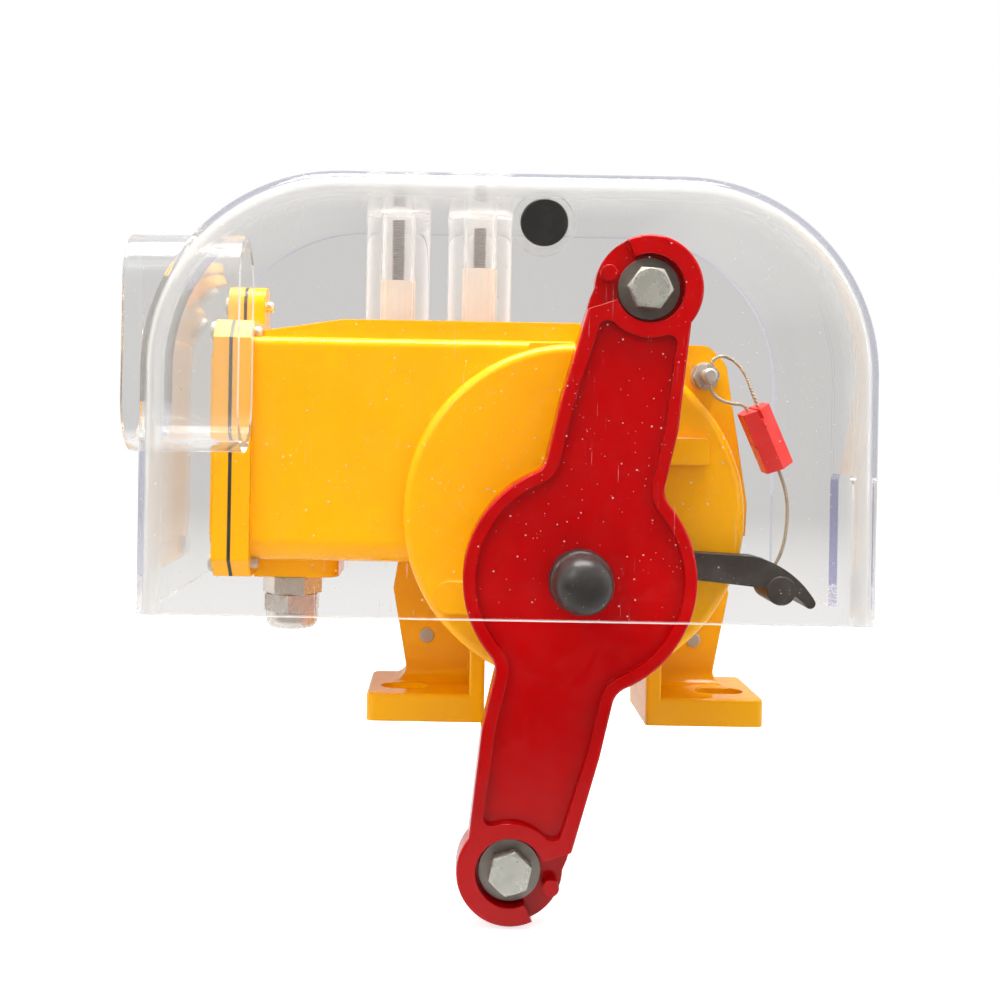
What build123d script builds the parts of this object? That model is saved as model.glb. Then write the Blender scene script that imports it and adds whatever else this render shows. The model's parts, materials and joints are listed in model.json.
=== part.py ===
from build123d import *
import math
import os

# Rope pull switch for a conveyor: a cast housing on two slotted feet, a double lever
# that two pull ropes turn, a sealed reset handle and a clear hood over the whole front.
# X runs to the right, Y away from the viewer, Z up. The shaft axis lies at X = 0,
# the feet stand on Z = 0, and Y = 0 is the terminal box's middle plane while the pieces are
# drawn. They are written with Y = 0 on the line of the foot slots. Sizes are in millimetres.

os.makedirs("parts", exist_ok=True)

# Clearances
running_fit = 0.05
screw_fit = 0.1
body_gap = 0.4

# Drum and shaft
shaft_z = 72.0
drum_z = 96.5
drum_radius = 74.0
drum_front = -52.0
body_front = -46.0
box_half_depth = 42.0
body_back = box_half_depth + 4.0
casting_wall = 6.0
front_wall = 8.0
drum_edge_round = 4.0
shoulder_x = 65.5
shoulder_cut = 8.0
shoulder_round = 7.0

# Terminal box
box_left = -141.0
box_bottom = 73.0
box_top = 172.0
shoulder_top = box_top - 1.0
box_wall = 5.0
box_lower_round = 10.0
box_upper_round = 4.0
box_cavity_right = -76.0
wire_passage_radius = 16.0
wire_passage_z = 112.0
top_pad_height = 8.5
top_pad_left = -102.0
top_pad_right = 12.0
top_pad_half_depth = 36.0

# End flange, gasket and cover of the terminal box
flange_thickness = 8.0
flange_overhang = 7.0
flange_half_depth = box_half_depth + 4.0
flange_corner = 8.0
gasket_thickness = 1.5
cover_thickness = 7.0
cover_dome = 2.5
cover_dome_inset = 12.0
ear_top = box_top + 25.0
ear_radius = 9.0

# Feet and legs
foot_end = 90.0
foot_inner = 36.5
foot_height = 12.5
foot_front = -25.0
foot_back = 28.0
foot_round = 4.0
web_front = 8.0
web_back = 26.0
web_foot_round = 6.0
leg_upper_x = 79.8
leg_upper_z = 56.0
leg_lower_x = 72.0
leg_rib = 7.0
slot_x = 73.0
slot_y = -7.0
slot_length = 22.0
slot_width = 13.0
pin_x = 63.5
pin_z = 33.5
pin_diameter = 7.0

# Rear cover of the drum
rear_gasket = 1.5
rear_cover_thickness = 6.0
rear_screw_circle = 63.0
rear_boss_radius = 6.0
rear_boss_length = 24.0
rear_hub_radius = 13.0
rear_hub_front = body_back - 14.0

# Screws: shank and head sizes of each kind
m4_shank = 4.0
m4_head = 7.0
m4_head_height = 3.0
m5_shank = 5.0
m5_head = 8.6
m5_head_height = 2.6

# Main shaft and its bushes
journal_diameter = 16.0
seat_diameter = 14.0
rear_journal_diameter = 12.0
bush_wall = 3.0
boss_radius = 15.0
boss_front = -59.0
boss_back = -42.0
seal_length = 3.5
rear_bush_length = 13.0
circlip_thickness = 1.2

# Lever arm
rest_tilt = 12.5
lever_reach = 123.0
lever_front = -82.0
lever_back = -68.0
lever_hub_radius = 48.0
lever_hub_back = -62.0
lever_hub_boss = 14.0
arm_half_width = 24.8
arm_shoulder = lever_reach - 54.0
arm_outer_end = 19.6
arm_inner_end = 22.4
arm_end = lever_reach - 9.0
arm_fillet = 9.0
rim_width = 5.3
pocket_depth = 3.5
eye_radius = 22.0
eye_recess_radius = 14.2
eye_recess_depth = 7.0
eye_bore = 10.6
eye_shelf_from = 128.0
eye_shelf_to = 212.0
rope_stub_radius = 3.4
rope_stub_angle = 173.0
rope_stub_reach = 17.9
clamp_washer_diameter = 25.5
clamp_washer_thickness = 2.5
clamp_bolt_diameter = 10.0
clamp_head_flats = 16.0
clamp_head_height = 6.4
clamp_nut_height = 8.0
clamp_bolt_spare = 1.5
hub_bolt_diameter = 8.0
hub_bolt_flats = 13.0
hub_bolt_head = 5.3
hub_washer_radius = 9.5
hub_washer_thickness = 2.0
cap_radius = 12.2
cap_flange_radius = 13.0
cap_flange_length = 12.0
cap_front = -106.0
cap_wall = 1.8
cap_round = 6.0
lever_key_width = 5.0

# Switching group on the shaft
cam_radius = 16.0
cam_lift_per_degree = 0.05
cam_width = 8.0
cam_a_front = -20.0
cam_b_front = 0.0
cam_key_width = 4.0
spacer_radius = 9.5
latch_radius = 15.0
latch_front = -38.0
latch_width = 6.0
latch_notch = 2.6
collar_radius = 17.0
collar_front = 16.0
collar_width = 4.0
lever_up_travel = 52.5
lever_down_travel = 27.5

# Microswitches over the cams
switch_width = 50.0
switch_height = 20.0
switch_depth = 17.0
switch_bottom = 98.0
switch_screw_x = 12.7
plunger_diameter = 5.0
plunger_bore_depth = 11.0
plunger_engaged = 7.0
bracket_thickness = 3.0
bracket_half_width = 52.0
pillar_x = 45.0
pillar_radius = 6.0

# Torsion springs
return_spring_wire = 2.2
return_spring_radius = 10.5
return_spring_pitch = 2.4
return_spring_turns = 3
spring_fit = 0.3
spring_peg_radius = 2.5
reset_spring_wire = 1.4
reset_spring_radius = 8.6
reset_spring_turns = 2

# Reset handle
reset_x = 30.0
reset_z = 79.0
reset_front = -66.0
reset_back = -55.0
reset_grip_back = -41.0
reset_grip_from = 82.5
reset_hub_radius = 11.0
reset_spindle_diameter = 10.0
reset_boss_radius = 11.0
reset_boss_front = -54.5
reset_pin_x = 86.0
reset_pin_z = 67.4
reset_pin_radius = 6.2
roll_pin_diameter = 3.0
pawl_hub_radius = 8.5

# Seal stud, wire and seal
stud_x = 56.2
stud_z = 157.6
stud_diameter = 6.0
stud_front = -60.0
stud_depth = 14.0
stud_nut_flats = 10.0
stud_nut_height = 5.0
seal_washer_radius = 6.0
seal_washer_thickness = 1.2
wire_diameter = 1.5
seal_flats = 12.4
seal_slit = 1.2
seal_slit_depth = 4.0
wire_fit = 0.3

# Cable gland, M20
gland_x = -127.0
gland_pad_bottom = 64.0
gland_pad_half_depth = 22.0
gland_pad_right = -104.0
gland_thread_radius = 10.0
gland_bore_radius = 6.5
gland_washer_thickness = 1.5
gland_hex_flats = 24.0
gland_hex_height = 8.0
gland_nut_hex_height = 8.0
gland_bottom = 38.0

# Hood
hood_left = -175.0
hood_right = 112.0
hood_bottom = 60.0
hood_top = box_top + 61.0
hood_front = -114.0
hood_back = body_back
hood_corner = 77.0
hood_wall = 3.5
hood_edge_round = 7.0
notch_front = -87.0
notch_back = -57.0
notch_top = 117.0
notch_round = 5.0
sleeve_left = -184.0
sleeve_right = -138.0
sleeve_y = -82.0
sleeve_z = hood_top - 67.0
sleeve_height = 88.0
sleeve_depth = 40.0
sleeve_wall = 4.5
post_x = (-79.0, -42.0)
post_y = -20.0
post_radius = 14.5
post_bore = 11.8
insert_top = (box_top + 27.0, box_top + 33.0)
stud_top = (box_top + 54.5, box_top + 51.5)
post_stud_diameter = 6.0
plug_x = -19.4
plug_z = hood_top - 19.7
plug_radius = 9.2
plug_boss_radius = 12.4
plug_boss_depth = 8.0
plug_flange = 1.2

# Terminal strip in the box
strip_x = -112.0
strip_width = 24.0
strip_depth = 16.0
strip_bottom = (box_bottom + box_top) / 2 - 30.5
strip_ways = 6
strip_pitch = 10.0
strip_barrier = 2.0
strip_channel = 6.0


def along_x(sketch, low, high):
    """A sketch drawn in Y and Z, filled from x = low to x = high."""
    return extrude(Plane.YZ.offset(low) * sketch, amount=high - low)


def along_y(sketch, front, back):
    """A sketch drawn in X and Z, filled from y = front to y = back."""
    return extrude(Plane.XZ.offset(-back) * sketch, amount=back - front)


def along_z(sketch, low, high):
    """A sketch drawn in X and Y, filled from z = low to z = high."""
    return extrude(Plane.XY.offset(low) * sketch, amount=high - low)


def disc(x, z, radius, front, back):
    """A round bar whose axis runs along Y."""
    return along_y(Pos(x, z) * Circle(radius), front, back)


def ring(x, z, outer, inner, front, back):
    """A round tube whose axis runs along Y."""
    return along_y(Pos(x, z) * (Circle(outer) - Circle(inner)), front, back)


def block(x, y, z):
    """A box between two X values, two Y values and two Z values."""
    sketch = Pos((x[0] + x[1]) / 2, (y[0] + y[1]) / 2) * Rectangle(x[1] - x[0], y[1] - y[0])
    return along_z(sketch, z[0], z[1])


def face_of(points):
    """A flat face with straight sides."""
    return make_face(Polyline(*points, close=True))


def hexagon(flats, rotation=0):
    """A hexagon given by the distance across its flats."""
    return RegularPolygon(flats / 2, 6, major_radius=False, rotation=rotation)


def arc_point(centre, radius, degrees):
    """A point of a circle, as X and Z."""
    turn = math.radians(degrees)
    return (centre[0] + radius * math.cos(turn), centre[1] + radius * math.sin(turn))


def on_shaft(shape, degrees):
    """Turns a shape about the main shaft, clockwise as seen from the front."""
    return shape.rotate(Axis((0, 0, shaft_z), (0, 1, 0)), degrees)


def save(name, *solids):
    """Writes one node, moved so that the line of the foot slots lies at Y = 0.
    Several solids stay apart in it."""
    placed = [Pos(0, -slot_y, 0) * solid for solid in solids]
    shape = placed[0] if len(placed) == 1 else Compound(children=placed)
    export_step(shape, f"parts/{name}.step")


# The casting's outside
def flange_face():
    """The end flange's outline in Y and Z, with cut corners and the ear on top."""
    low = box_bottom - flange_overhang
    high = box_top + flange_overhang
    plate = Pos(0, (low + high) / 2) * Rectangle(2 * flange_half_depth, high - low)
    plate = chamfer(plate.vertices(), flange_corner)
    ear_centre = ear_top - ear_radius
    ear = Pos(0, (high - 4 + ear_centre) / 2) * Rectangle(2 * ear_radius, ear_centre - high + 4)
    return plate + ear + Pos(0, ear_centre) * Circle(ear_radius)


def cover_screw_places():
    """Where the end cover's screws stand, as Y and Z."""
    low = box_bottom - flange_overhang + m5_shank + 1
    high = box_top + flange_overhang - m5_shank
    side = flange_half_depth - flange_corner - 2
    return [(-side, low), (side, low), (-side, high), (side, high), (0, ear_top - ear_radius)]


def rear_screw_places():
    """Where the rear cover's screws stand, as X and Z."""
    return [arc_point((0, drum_z), rear_screw_circle, 30 + 60 * step) for step in range(6)]


def leg(side):
    """One foot with its slot, the web that rises to the drum and the rib on its inner side."""
    foot = block((foot_inner, foot_end), (foot_front, foot_back), (0, foot_height))
    foot = fillet(foot.edges().filter_by(Axis.Z), foot_round)
    foot = fillet(foot.faces().sort_by(Axis.Z)[-1].edges(), 1.5)
    outline = face_of(
        [
            (foot_inner + 1, foot_height / 2),
            (foot_inner + 1, drum_z - 50),
            (drum_radius - 10, drum_z),
            (drum_radius - 0.5, drum_z),
            (leg_upper_x, leg_upper_z),
            (leg_lower_x, foot_height),
            (foot_end - foot_round, foot_height),
            (foot_end - foot_round, foot_height / 2),
        ]
    )
    corner = outline.vertices().filter_by(lambda v: abs(v.X - leg_lower_x) < 0.01)
    web = along_y(fillet(corner, web_foot_round), web_front, web_back)
    rib_top = drum_z - math.sqrt((drum_radius - 2) ** 2 - (foot_inner + leg_rib) ** 2)
    rib = block((foot_inner, foot_inner + leg_rib), (foot_front, foot_back), (0, rib_top))
    rib = fillet(rib.edges().filter_by(Axis.Z), 1.5)
    shape = foot + web
    root = shape.edges().filter_by(Axis.X).filter_by(
        lambda e: abs(e.center().Y - web_front) < 0.01 and abs(e.center().Z - foot_height) < 0.01
    )
    shape = fillet(root, web_foot_round) + rib
    slot = Pos(slot_x, slot_y) * SlotOverall(slot_length, slot_width)
    shape -= along_z(slot, -1, foot_height + 1)
    shape -= disc(pin_x, pin_z, pin_diameter / 2, web_front - 1, web_back + 1)
    return shape if side > 0 else shape.mirror(Plane.YZ)


def casting_outside():
    """Drum, shoulder, terminal box, top pad, gland pad, flange, legs and feet."""
    drum = disc(0, drum_z, drum_radius, drum_front, body_back)
    drum = fillet(drum.edges().filter_by(GeomType.CIRCLE).sort_by(Axis.Y)[0], drum_edge_round)
    shoulder_outline = face_of(
        [
            (-20, drum_z),
            (-20, shoulder_top),
            (shoulder_x - shoulder_cut, shoulder_top),
            (shoulder_x, shoulder_top - shoulder_cut),
            (drum_radius + 1.5, drum_z + 6),
            (drum_radius + 1, drum_z - 8),
        ]
    )
    corners = shoulder_outline.vertices().sort_by(Axis.X)[2:4]
    shoulder = along_y(fillet(corners, shoulder_round), body_front, body_back)
    box = block((box_left, 0), (-box_half_depth, box_half_depth), (box_bottom, box_top))
    long_edges = box.edges().filter_by(Axis.X).sort_by(Axis.Z)
    box = fillet(long_edges[:2], box_lower_round)
    long_edges = box.edges().filter_by(Axis.X).sort_by(Axis.Z)
    box = fillet(long_edges[-2:], box_upper_round)
    pad_top = box_top + top_pad_height
    pad = along_y(
        face_of(
            [
                (box_left + 1, box_top - 5),
                (box_left + 1, box_top + 2.5),
                (top_pad_left, pad_top),
                (top_pad_right, pad_top),
                (top_pad_right + 8, box_top - 5),
            ]
        ),
        -top_pad_half_depth,
        top_pad_half_depth,
    )
    gland_pad = block(
        (box_left - 1, gland_pad_right),
        (-gland_pad_half_depth, gland_pad_half_depth),
        (gland_pad_bottom, box_bottom + box_lower_round),
    )
    right_edges = gland_pad.edges().filter_by(Axis.Z).sort_by(Axis.X)[-2:]
    gland_pad = fillet(right_edges, 8)
    flange = along_x(flange_face(), box_left - flange_thickness, box_left)
    front_boss = disc(0, shaft_z, boss_radius, boss_front, drum_front + 1)
    reset_boss = disc(reset_x, reset_z, reset_boss_radius, reset_boss_front, drum_front + 1)
    return (
        drum + shoulder + box + pad + gland_pad + flange + leg(1) + leg(-1) + front_boss + reset_boss
    )


def stop_pads():
    """The two cast pads on the drum's face, one each side of the lever hub."""
    right_top = Pos(43.5, 124.8) * RectangleRounded(27, 11.6, 2)
    left_low = Pos(-46, 60.5) * SlotOverall(28, 14)
    proud = 3.5
    return along_y(right_top, drum_front - proud, drum_front + 1) + along_y(
        left_low, drum_front - proud, drum_front + 1
    )


def casting_inside():
    """The hollows of drum and box, and every hole in the casting."""
    cavity_radius = drum_radius - casting_wall
    drum = disc(0, drum_z, cavity_radius, drum_front + front_wall, body_back + 1)
    keep = disc(0, shaft_z, boss_radius, drum_front, boss_back)
    for x, z in rear_screw_places():
        keep += disc(x, z, rear_boss_radius, body_back - rear_boss_length, body_back + 1)
    for side in (-1, 1):
        keep += disc(side * pillar_x, bracket_z(), pillar_radius, drum_front, bracket_front())
    drum -= keep
    inner = box_half_depth - box_wall
    box = block(
        (box_left - flange_thickness - 1, box_cavity_right),
        (-inner, inner),
        (box_bottom + box_wall, box_top - box_wall),
    )
    passage = along_x(
        Pos(0, wire_passage_z) * Circle(wire_passage_radius), box_cavity_right - 2, -drum_radius + 14
    )
    return drum + box + passage


def bracket_front():
    """The Y of the bracket's front face, behind the second microswitch."""
    return cam_b_front + cam_width / 2 + switch_depth / 2


def bracket_z():
    """The height of the bracket's screws, at the switches' middle."""
    return switch_bottom + switch_height / 2


def housing_casting():
    """The finished casting."""
    shape = casting_outside() + stop_pads() - casting_inside()
    shape -= disc(0, shaft_z, journal_diameter / 2 + bush_wall, boss_front - 1, boss_back + 1)
    spindle_hole = reset_spindle_diameter / 2 + bush_wall
    shape -= disc(reset_x, reset_z, spindle_hole, reset_boss_front - 1, drum_front + front_wall + 1)
    for y, z in cover_screw_places():
        shape -= along_x(Pos(y, z) * Circle(m5_shank / 2), box_left - flange_thickness - 1, box_left + 4)
    for x, z in rear_screw_places():
        shape -= disc(x, z, m5_shank / 2, body_back - rear_boss_length + 4, body_back + 1)
    for side in (-1, 1):
        hole_front = bracket_front() - 12
        shape -= disc(side * pillar_x, bracket_z(), m4_shank / 2, hole_front, bracket_front() + 1)
    shape -= along_z(
        Pos(gland_x, 0) * Circle(gland_thread_radius), gland_pad_bottom - 1, box_bottom + box_wall + 1
    )
    shape -= disc(stud_x, stud_z, stud_diameter / 2, body_front - 1, body_front + stud_depth)
    for x in post_x:
        hole = Pos(x, post_y) * Circle(post_stud_diameter / 2)
        shape -= along_z(hole, box_top - box_wall + 2, box_top + top_pad_height + 1)
    for z in strip_screw_heights():
        shape -= disc(strip_x, z, m4_shank / 2, box_half_depth - box_wall - 1, box_half_depth - 1.5)
    return shape


# Covers, gaskets and their screws
def end_cover():
    """The terminal box's end cover, with a raised middle and a hollow back."""
    inner = box_left - flange_thickness - gasket_thickness
    outer = inner - cover_thickness
    plate = along_x(flange_face(), outer, inner)
    dome_height = box_top - box_bottom + 2 * flange_overhang - 2 * cover_dome_inset
    dome_face = Pos(0, (box_bottom + box_top) / 2) * RectangleRounded(
        2 * (flange_half_depth - cover_dome_inset + 4), dome_height, 8
    )
    dome = along_x(dome_face, outer - cover_dome, outer)
    dome = fillet(dome.faces().sort_by(Axis.X)[0].edges(), cover_dome - 0.5)
    shape = plate + dome
    inset = box_half_depth - box_wall
    hollow = (inner - cover_thickness / 2, inner + 1)
    shape -= block(hollow, (-inset, inset), (box_bottom + box_wall, box_top - box_wall))
    for y, z in cover_screw_places():
        shape -= along_x(Pos(y, z) * Circle(m5_shank / 2), outer - 1, inner + 1)
    return shape


def end_cover_gasket():
    """The black sheet between flange and end cover."""
    right = box_left - flange_thickness
    inset = box_half_depth - box_wall
    shape = along_x(flange_face(), right - gasket_thickness, right)
    shape -= block(
        (right - gasket_thickness - 1, right + 1),
        (-inset, inset),
        (box_bottom + box_wall, box_top - box_wall),
    )
    for y, z in cover_screw_places():
        hole = Pos(y, z) * Circle(m5_shank / 2)
        shape -= along_x(hole, right - gasket_thickness - 1, right + 1)
    return shape


def end_cover_screws():
    """The screws through cover, gasket and flange, with their rounded ends showing."""
    head_right = box_left - flange_thickness - gasket_thickness - cover_thickness
    end = box_left + 3
    screws = []
    for y, z in cover_screw_places():
        head = along_x(Pos(y, z) * Circle(m5_head / 2), head_right - m5_head_height, head_right)
        head = fillet(head.edges().filter_by(GeomType.CIRCLE).sort_by(Axis.X)[0], 1.2)
        shank = along_x(Pos(y, z) * Circle(m5_shank / 2), head_right, end)
        shank = chamfer(shank.edges().filter_by(GeomType.CIRCLE).sort_by(Axis.X)[-1], 0.8)
        screws.append(head + shank)
    return screws


def rear_cover():
    """The drum's round rear cover with the bearing hub and the spring's anchor peg."""
    front = body_back + rear_gasket
    back = front + rear_cover_thickness
    shape = disc(0, drum_z, drum_radius, front, back)
    shape = fillet(shape.edges().filter_by(GeomType.CIRCLE).sort_by(Axis.Y)[-1], 2.5)
    shape += disc(0, shaft_z, rear_hub_radius, rear_hub_front, front + 1)
    for angle in range(0, 360, 60):
        rib = block(
            (rear_hub_radius - 2, rear_hub_radius + 22), (front - 4, front + 0.5), (shaft_z - 1.5, shaft_z + 1.5)
        )
        shape += on_shaft(rib, angle)
    peg_z = shaft_z - return_spring_wire / 2 - spring_fit - spring_peg_radius
    shape += disc(spring_peg_x(), peg_z, spring_peg_radius, rear_hub_front - 5, front + 1)
    shape -= disc(0, shaft_z, rear_journal_diameter / 2 + bush_wall, rear_hub_front - 1, front - 1.5)
    for x, z in rear_screw_places():
        shape -= disc(x, z, m5_shank / 2, front - 1, back + 1)
    return shape


def spring_peg_x():
    """The X of the peg under the return spring's leg."""
    return return_spring_radius + 8


def rear_cover_gasket():
    """The flat ring between drum and rear cover."""
    shape = ring(0, drum_z, drum_radius, drum_radius - casting_wall, body_back, body_back + rear_gasket)
    for x, z in rear_screw_places():
        shape += disc(x, z, rear_boss_radius, body_back, body_back + rear_gasket)
    for x, z in rear_screw_places():
        shape -= disc(x, z, m5_shank / 2, body_back - 1, body_back + rear_gasket + 1)
    return shape


def rear_cover_screws():
    """Six screws from behind."""
    seat = body_back + rear_gasket + rear_cover_thickness
    screws = []
    for x, z in rear_screw_places():
        head = disc(x, z, m5_head / 2, seat, seat + m5_head_height)
        head = fillet(head.edges().filter_by(GeomType.CIRCLE).sort_by(Axis.Y)[-1], 1.2)
        screws.append(head + disc(x, z, m5_shank / 2, body_back - rear_boss_length + 5, seat))
    return screws


def leg_pins():
    """The round pins through both leg webs."""
    pins = []
    for side in (-1, 1):
        pin = disc(side * pin_x, pin_z, pin_diameter / 2, web_front - 0.8, web_back + 0.8)
        pins.append(chamfer(pin.edges().filter_by(GeomType.CIRCLE), 0.5))
    return pins


# Cable gland
def gland_body():
    """Hexagon body with the thread that goes up through the pad, and a stub for the nut."""
    top = gland_pad_bottom - gland_washer_thickness
    shape = along_z(Pos(gland_x, 0) * hexagon(gland_hex_flats), top - gland_hex_height, top)
    shape += along_z(Pos(gland_x, 0) * Circle(gland_thread_radius), top, box_bottom + box_wall + 2)
    stub_bottom = top - gland_hex_height - gland_nut_hex_height
    stub = Circle(gland_thread_radius - 0.5)
    shape += along_z(Pos(gland_x, 0) * stub, stub_bottom, top - gland_hex_height)
    shape -= along_z(
        Pos(gland_x, 0) * Circle(gland_bore_radius + 0.7), stub_bottom - 1, box_bottom + box_wall + 3
    )
    return shape


def gland_washer():
    """The flat seal between the gland and the pad."""
    face = Circle(gland_hex_flats / 2) - Circle(gland_thread_radius)
    return along_z(Pos(gland_x, 0) * face, gland_pad_bottom - gland_washer_thickness, gland_pad_bottom)


def gland_nut():
    """The dome nut: a hexagon above a rounded end."""
    top = gland_pad_bottom - gland_washer_thickness - gland_hex_height
    hex_bottom = top - gland_nut_hex_height
    shape = along_z(Pos(gland_x, 0) * hexagon(gland_hex_flats, 30), hex_bottom, top - 0.3)
    dome = along_z(Pos(gland_x, 0) * Circle(gland_hex_flats / 2), gland_bottom, hex_bottom)
    dome = fillet(dome.edges().filter_by(GeomType.CIRCLE).sort_by(Axis.Z)[0], 4)
    shape += dome
    shape -= along_z(Pos(gland_x, 0) * Circle(gland_thread_radius - 0.5), hex_bottom, top + 1)
    shape -= along_z(Pos(gland_x, 0) * Circle(gland_bore_radius + 1.8), gland_bottom - 1, hex_bottom + 1)
    return shape


def gland_insert():
    """The rubber ring that grips the cable."""
    hex_bottom = gland_pad_bottom - gland_washer_thickness - gland_hex_height - gland_nut_hex_height
    face = Circle(gland_bore_radius + 1.8) - Circle(gland_bore_radius)
    return along_z(Pos(gland_x, 0) * face, gland_bottom + 0.6, hex_bottom)


# Terminal strip
def strip_screw_heights():
    """Heights of the two screws that hold the terminal strip."""
    return [strip_bottom + 4, strip_bottom + strip_ways * strip_pitch + 8]


def strip_way_height(way):
    """The middle height of one terminal."""
    return strip_bottom + 6 + strip_pitch * (way + 0.5)


def terminal_strip():
    """A moulded strip with a channel between barriers for each terminal."""
    back = box_half_depth - box_wall
    front = back - strip_depth
    top = strip_bottom + strip_ways * strip_pitch + 12
    half = strip_width / 2
    shape = block((strip_x - half, strip_x + half), (front, back), (strip_bottom, top))
    for way in range(strip_ways):
        z = strip_way_height(way)
        open_half = (strip_pitch - strip_barrier) / 2
        shape -= block(
            (strip_x - half - 1, strip_x + half + 1),
            (front - 1, front + strip_channel),
            (z - open_half, z + open_half),
        )
        for side in (-1, 1):
            x = strip_x + side * half / 2
            shape -= disc(x, z, m4_shank / 2 - 0.5, front + strip_channel - 1, front + strip_channel + 5)
    for z in strip_screw_heights():
        shape -= disc(strip_x, z, m4_shank / 2, front - 1, back + 1)
        shape -= disc(strip_x, z, m4_head / 2, front - 1, back - 6)
    return shape


def terminal_screws():
    """Two clamping screws for each terminal, and the two that hold the strip."""
    back = box_half_depth - box_wall
    floor = back - strip_depth + strip_channel
    screws = []
    for way in range(strip_ways):
        for side in (-1, 1):
            x = strip_x + side * strip_width / 4
            z = strip_way_height(way)
            head = disc(x, z, m4_head / 2 - 0.5, floor - 2.2, floor)
            slot = block((x - 4, x + 4), (floor - 2.3, floor - 1.4), (z - 0.4, z + 0.4))
            screws.append(head - slot + disc(x, z, m4_shank / 2 - 0.5, floor, floor + 4.5))
    for z in strip_screw_heights():
        head = disc(strip_x, z, m4_head / 2 - 0.1, back - 6 - m4_head_height, back - 6)
        screws.append(head + disc(strip_x, z, m4_shank / 2, back - 6, back + 3))
    return screws


# Main shaft group
def main_shaft():
    """The stepped shaft: lever seat, front journal, cam seat and rear journal."""
    shape = disc(0, shaft_z, seat_diameter / 2, shaft_front(), lever_hub_back)
    shape += disc(0, shaft_z, journal_diameter / 2, lever_hub_back, boss_back + 0.8)
    shape += disc(0, shaft_z, seat_diameter / 2, boss_back + 0.8, rear_hub_front - 2)
    rear_end = rear_hub_front + rear_bush_length
    shape += disc(0, shaft_z, rear_journal_diameter / 2, rear_hub_front - 2, rear_end)
    shape -= lever_key_blank()
    shape -= cam_key()
    shape -= disc(0, shaft_z, hub_bolt_diameter / 2, shaft_front() - 1, shaft_front() + 14)
    shape -= ring(
        0,
        shaft_z,
        seat_diameter / 2 + 1,
        seat_diameter / 2 - 1,
        boss_back + 1.2,
        boss_back + 1.2 + circlip_thickness,
    )
    return shape


def shaft_front():
    """The Y of the shaft's front end, level with the lever's pocket floor."""
    return lever_front + pocket_depth + 0.3


def lever_key_blank():
    """The lever's key, half in the shaft and half in the hub, turned with the lever."""
    half = lever_key_width / 2
    seat = seat_diameter / 2
    key = block(
        (-half, half), (lever_back - 8, lever_hub_back - 1), (shaft_z + seat - 2.5, shaft_z + seat + 2.3)
    )
    return on_shaft(key, rest_tilt)


def cam_key():
    """The long key under the cams."""
    half = cam_key_width / 2
    seat = seat_diameter / 2
    return block(
        (-half, half), (latch_front, collar_front + collar_width), (shaft_z - seat - 1.8, shaft_z - seat + 2)
    )


def shaft_circlip():
    """An open ring in the shaft's groove behind the front bush."""
    front = boss_back + 1.2
    shape = ring(0, shaft_z, seat_diameter / 2 + 3, seat_diameter / 2 - 1, front, front + circlip_thickness)
    return shape - block((-3, 3), (front - 1, front + 3), (shaft_z, shaft_z + 20))


def front_bush():
    """The bronze bush in the casting's front boss."""
    inner = journal_diameter / 2 + running_fit
    return ring(0, shaft_z, journal_diameter / 2 + bush_wall, inner, boss_front + seal_length, boss_back)


def shaft_seal():
    """The rubber ring in front of the bush."""
    inner = journal_diameter / 2 + running_fit
    return ring(0, shaft_z, journal_diameter / 2 + bush_wall, inner, boss_front, boss_front + seal_length)


def rear_bush():
    """The bronze bush in the rear cover's hub."""
    outer = rear_journal_diameter / 2 + bush_wall
    inner = rear_journal_diameter / 2 + running_fit
    return ring(0, shaft_z, outer, inner, rear_hub_front, rear_hub_front + rear_bush_length)


def cam_profile(direction):
    """A closed cam outline in X and Z about the shaft. Its top is a spiral of even lift,
    mirrored for direction -1, and a smooth curve below closes it."""
    margin = 9
    before, after = lever_up_travel, lever_down_travel
    if direction < 0:
        before, after = after, before
    start = -before - margin
    stop = after + margin

    def radius(angle):
        if start <= angle <= stop:
            return cam_radius - cam_lift_per_degree * angle
        share = (angle - stop) / (360 + start - stop)
        low = cam_radius - cam_lift_per_degree * stop
        high = cam_radius - cam_lift_per_degree * start
        return low + (high - low) * (1 - math.cos(math.pi * share)) / 2

    points = []
    for step in range(36):
        angle = start + 10 * step
        turn = math.radians(angle)
        points.append((-direction * radius(angle) * math.sin(turn), radius(angle) * math.cos(turn)))
    return make_face(Spline(*points, periodic=True))


def switch_cam(direction, front):
    """One cam disc with its bore and keyway."""
    face = Pos(0, shaft_z) * cam_profile(direction)
    shape = along_y(face, front, front + cam_width)
    shape -= disc(0, shaft_z, seat_diameter / 2, front - 1, front + cam_width + 1)
    return shape - cam_key()


def shaft_spacers():
    """The sleeves that keep latch disc, cams and collar apart."""
    spans = [
        (latch_front + latch_width, cam_a_front),
        (cam_a_front + cam_width, cam_b_front),
        (cam_b_front + cam_width, collar_front),
    ]
    return [ring(0, shaft_z, spacer_radius, seat_diameter / 2, low, high) - cam_key() for low, high in spans]


def latch_disc():
    """The disc with the two notches that the reset pawl guards."""
    shape = ring(0, shaft_z, latch_radius, seat_diameter / 2, latch_front, latch_front + latch_width)
    towards = math.degrees(math.atan2(reset_z - shaft_z, reset_x))
    for offset in (-38, 38):
        angle = math.radians(towards + offset)
        x = latch_radius * math.cos(angle)
        z = shaft_z + latch_radius * math.sin(angle)
        shape -= disc(x, z, latch_notch, latch_front - 1, latch_front + latch_width + 1)
    return shape - cam_key()


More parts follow.
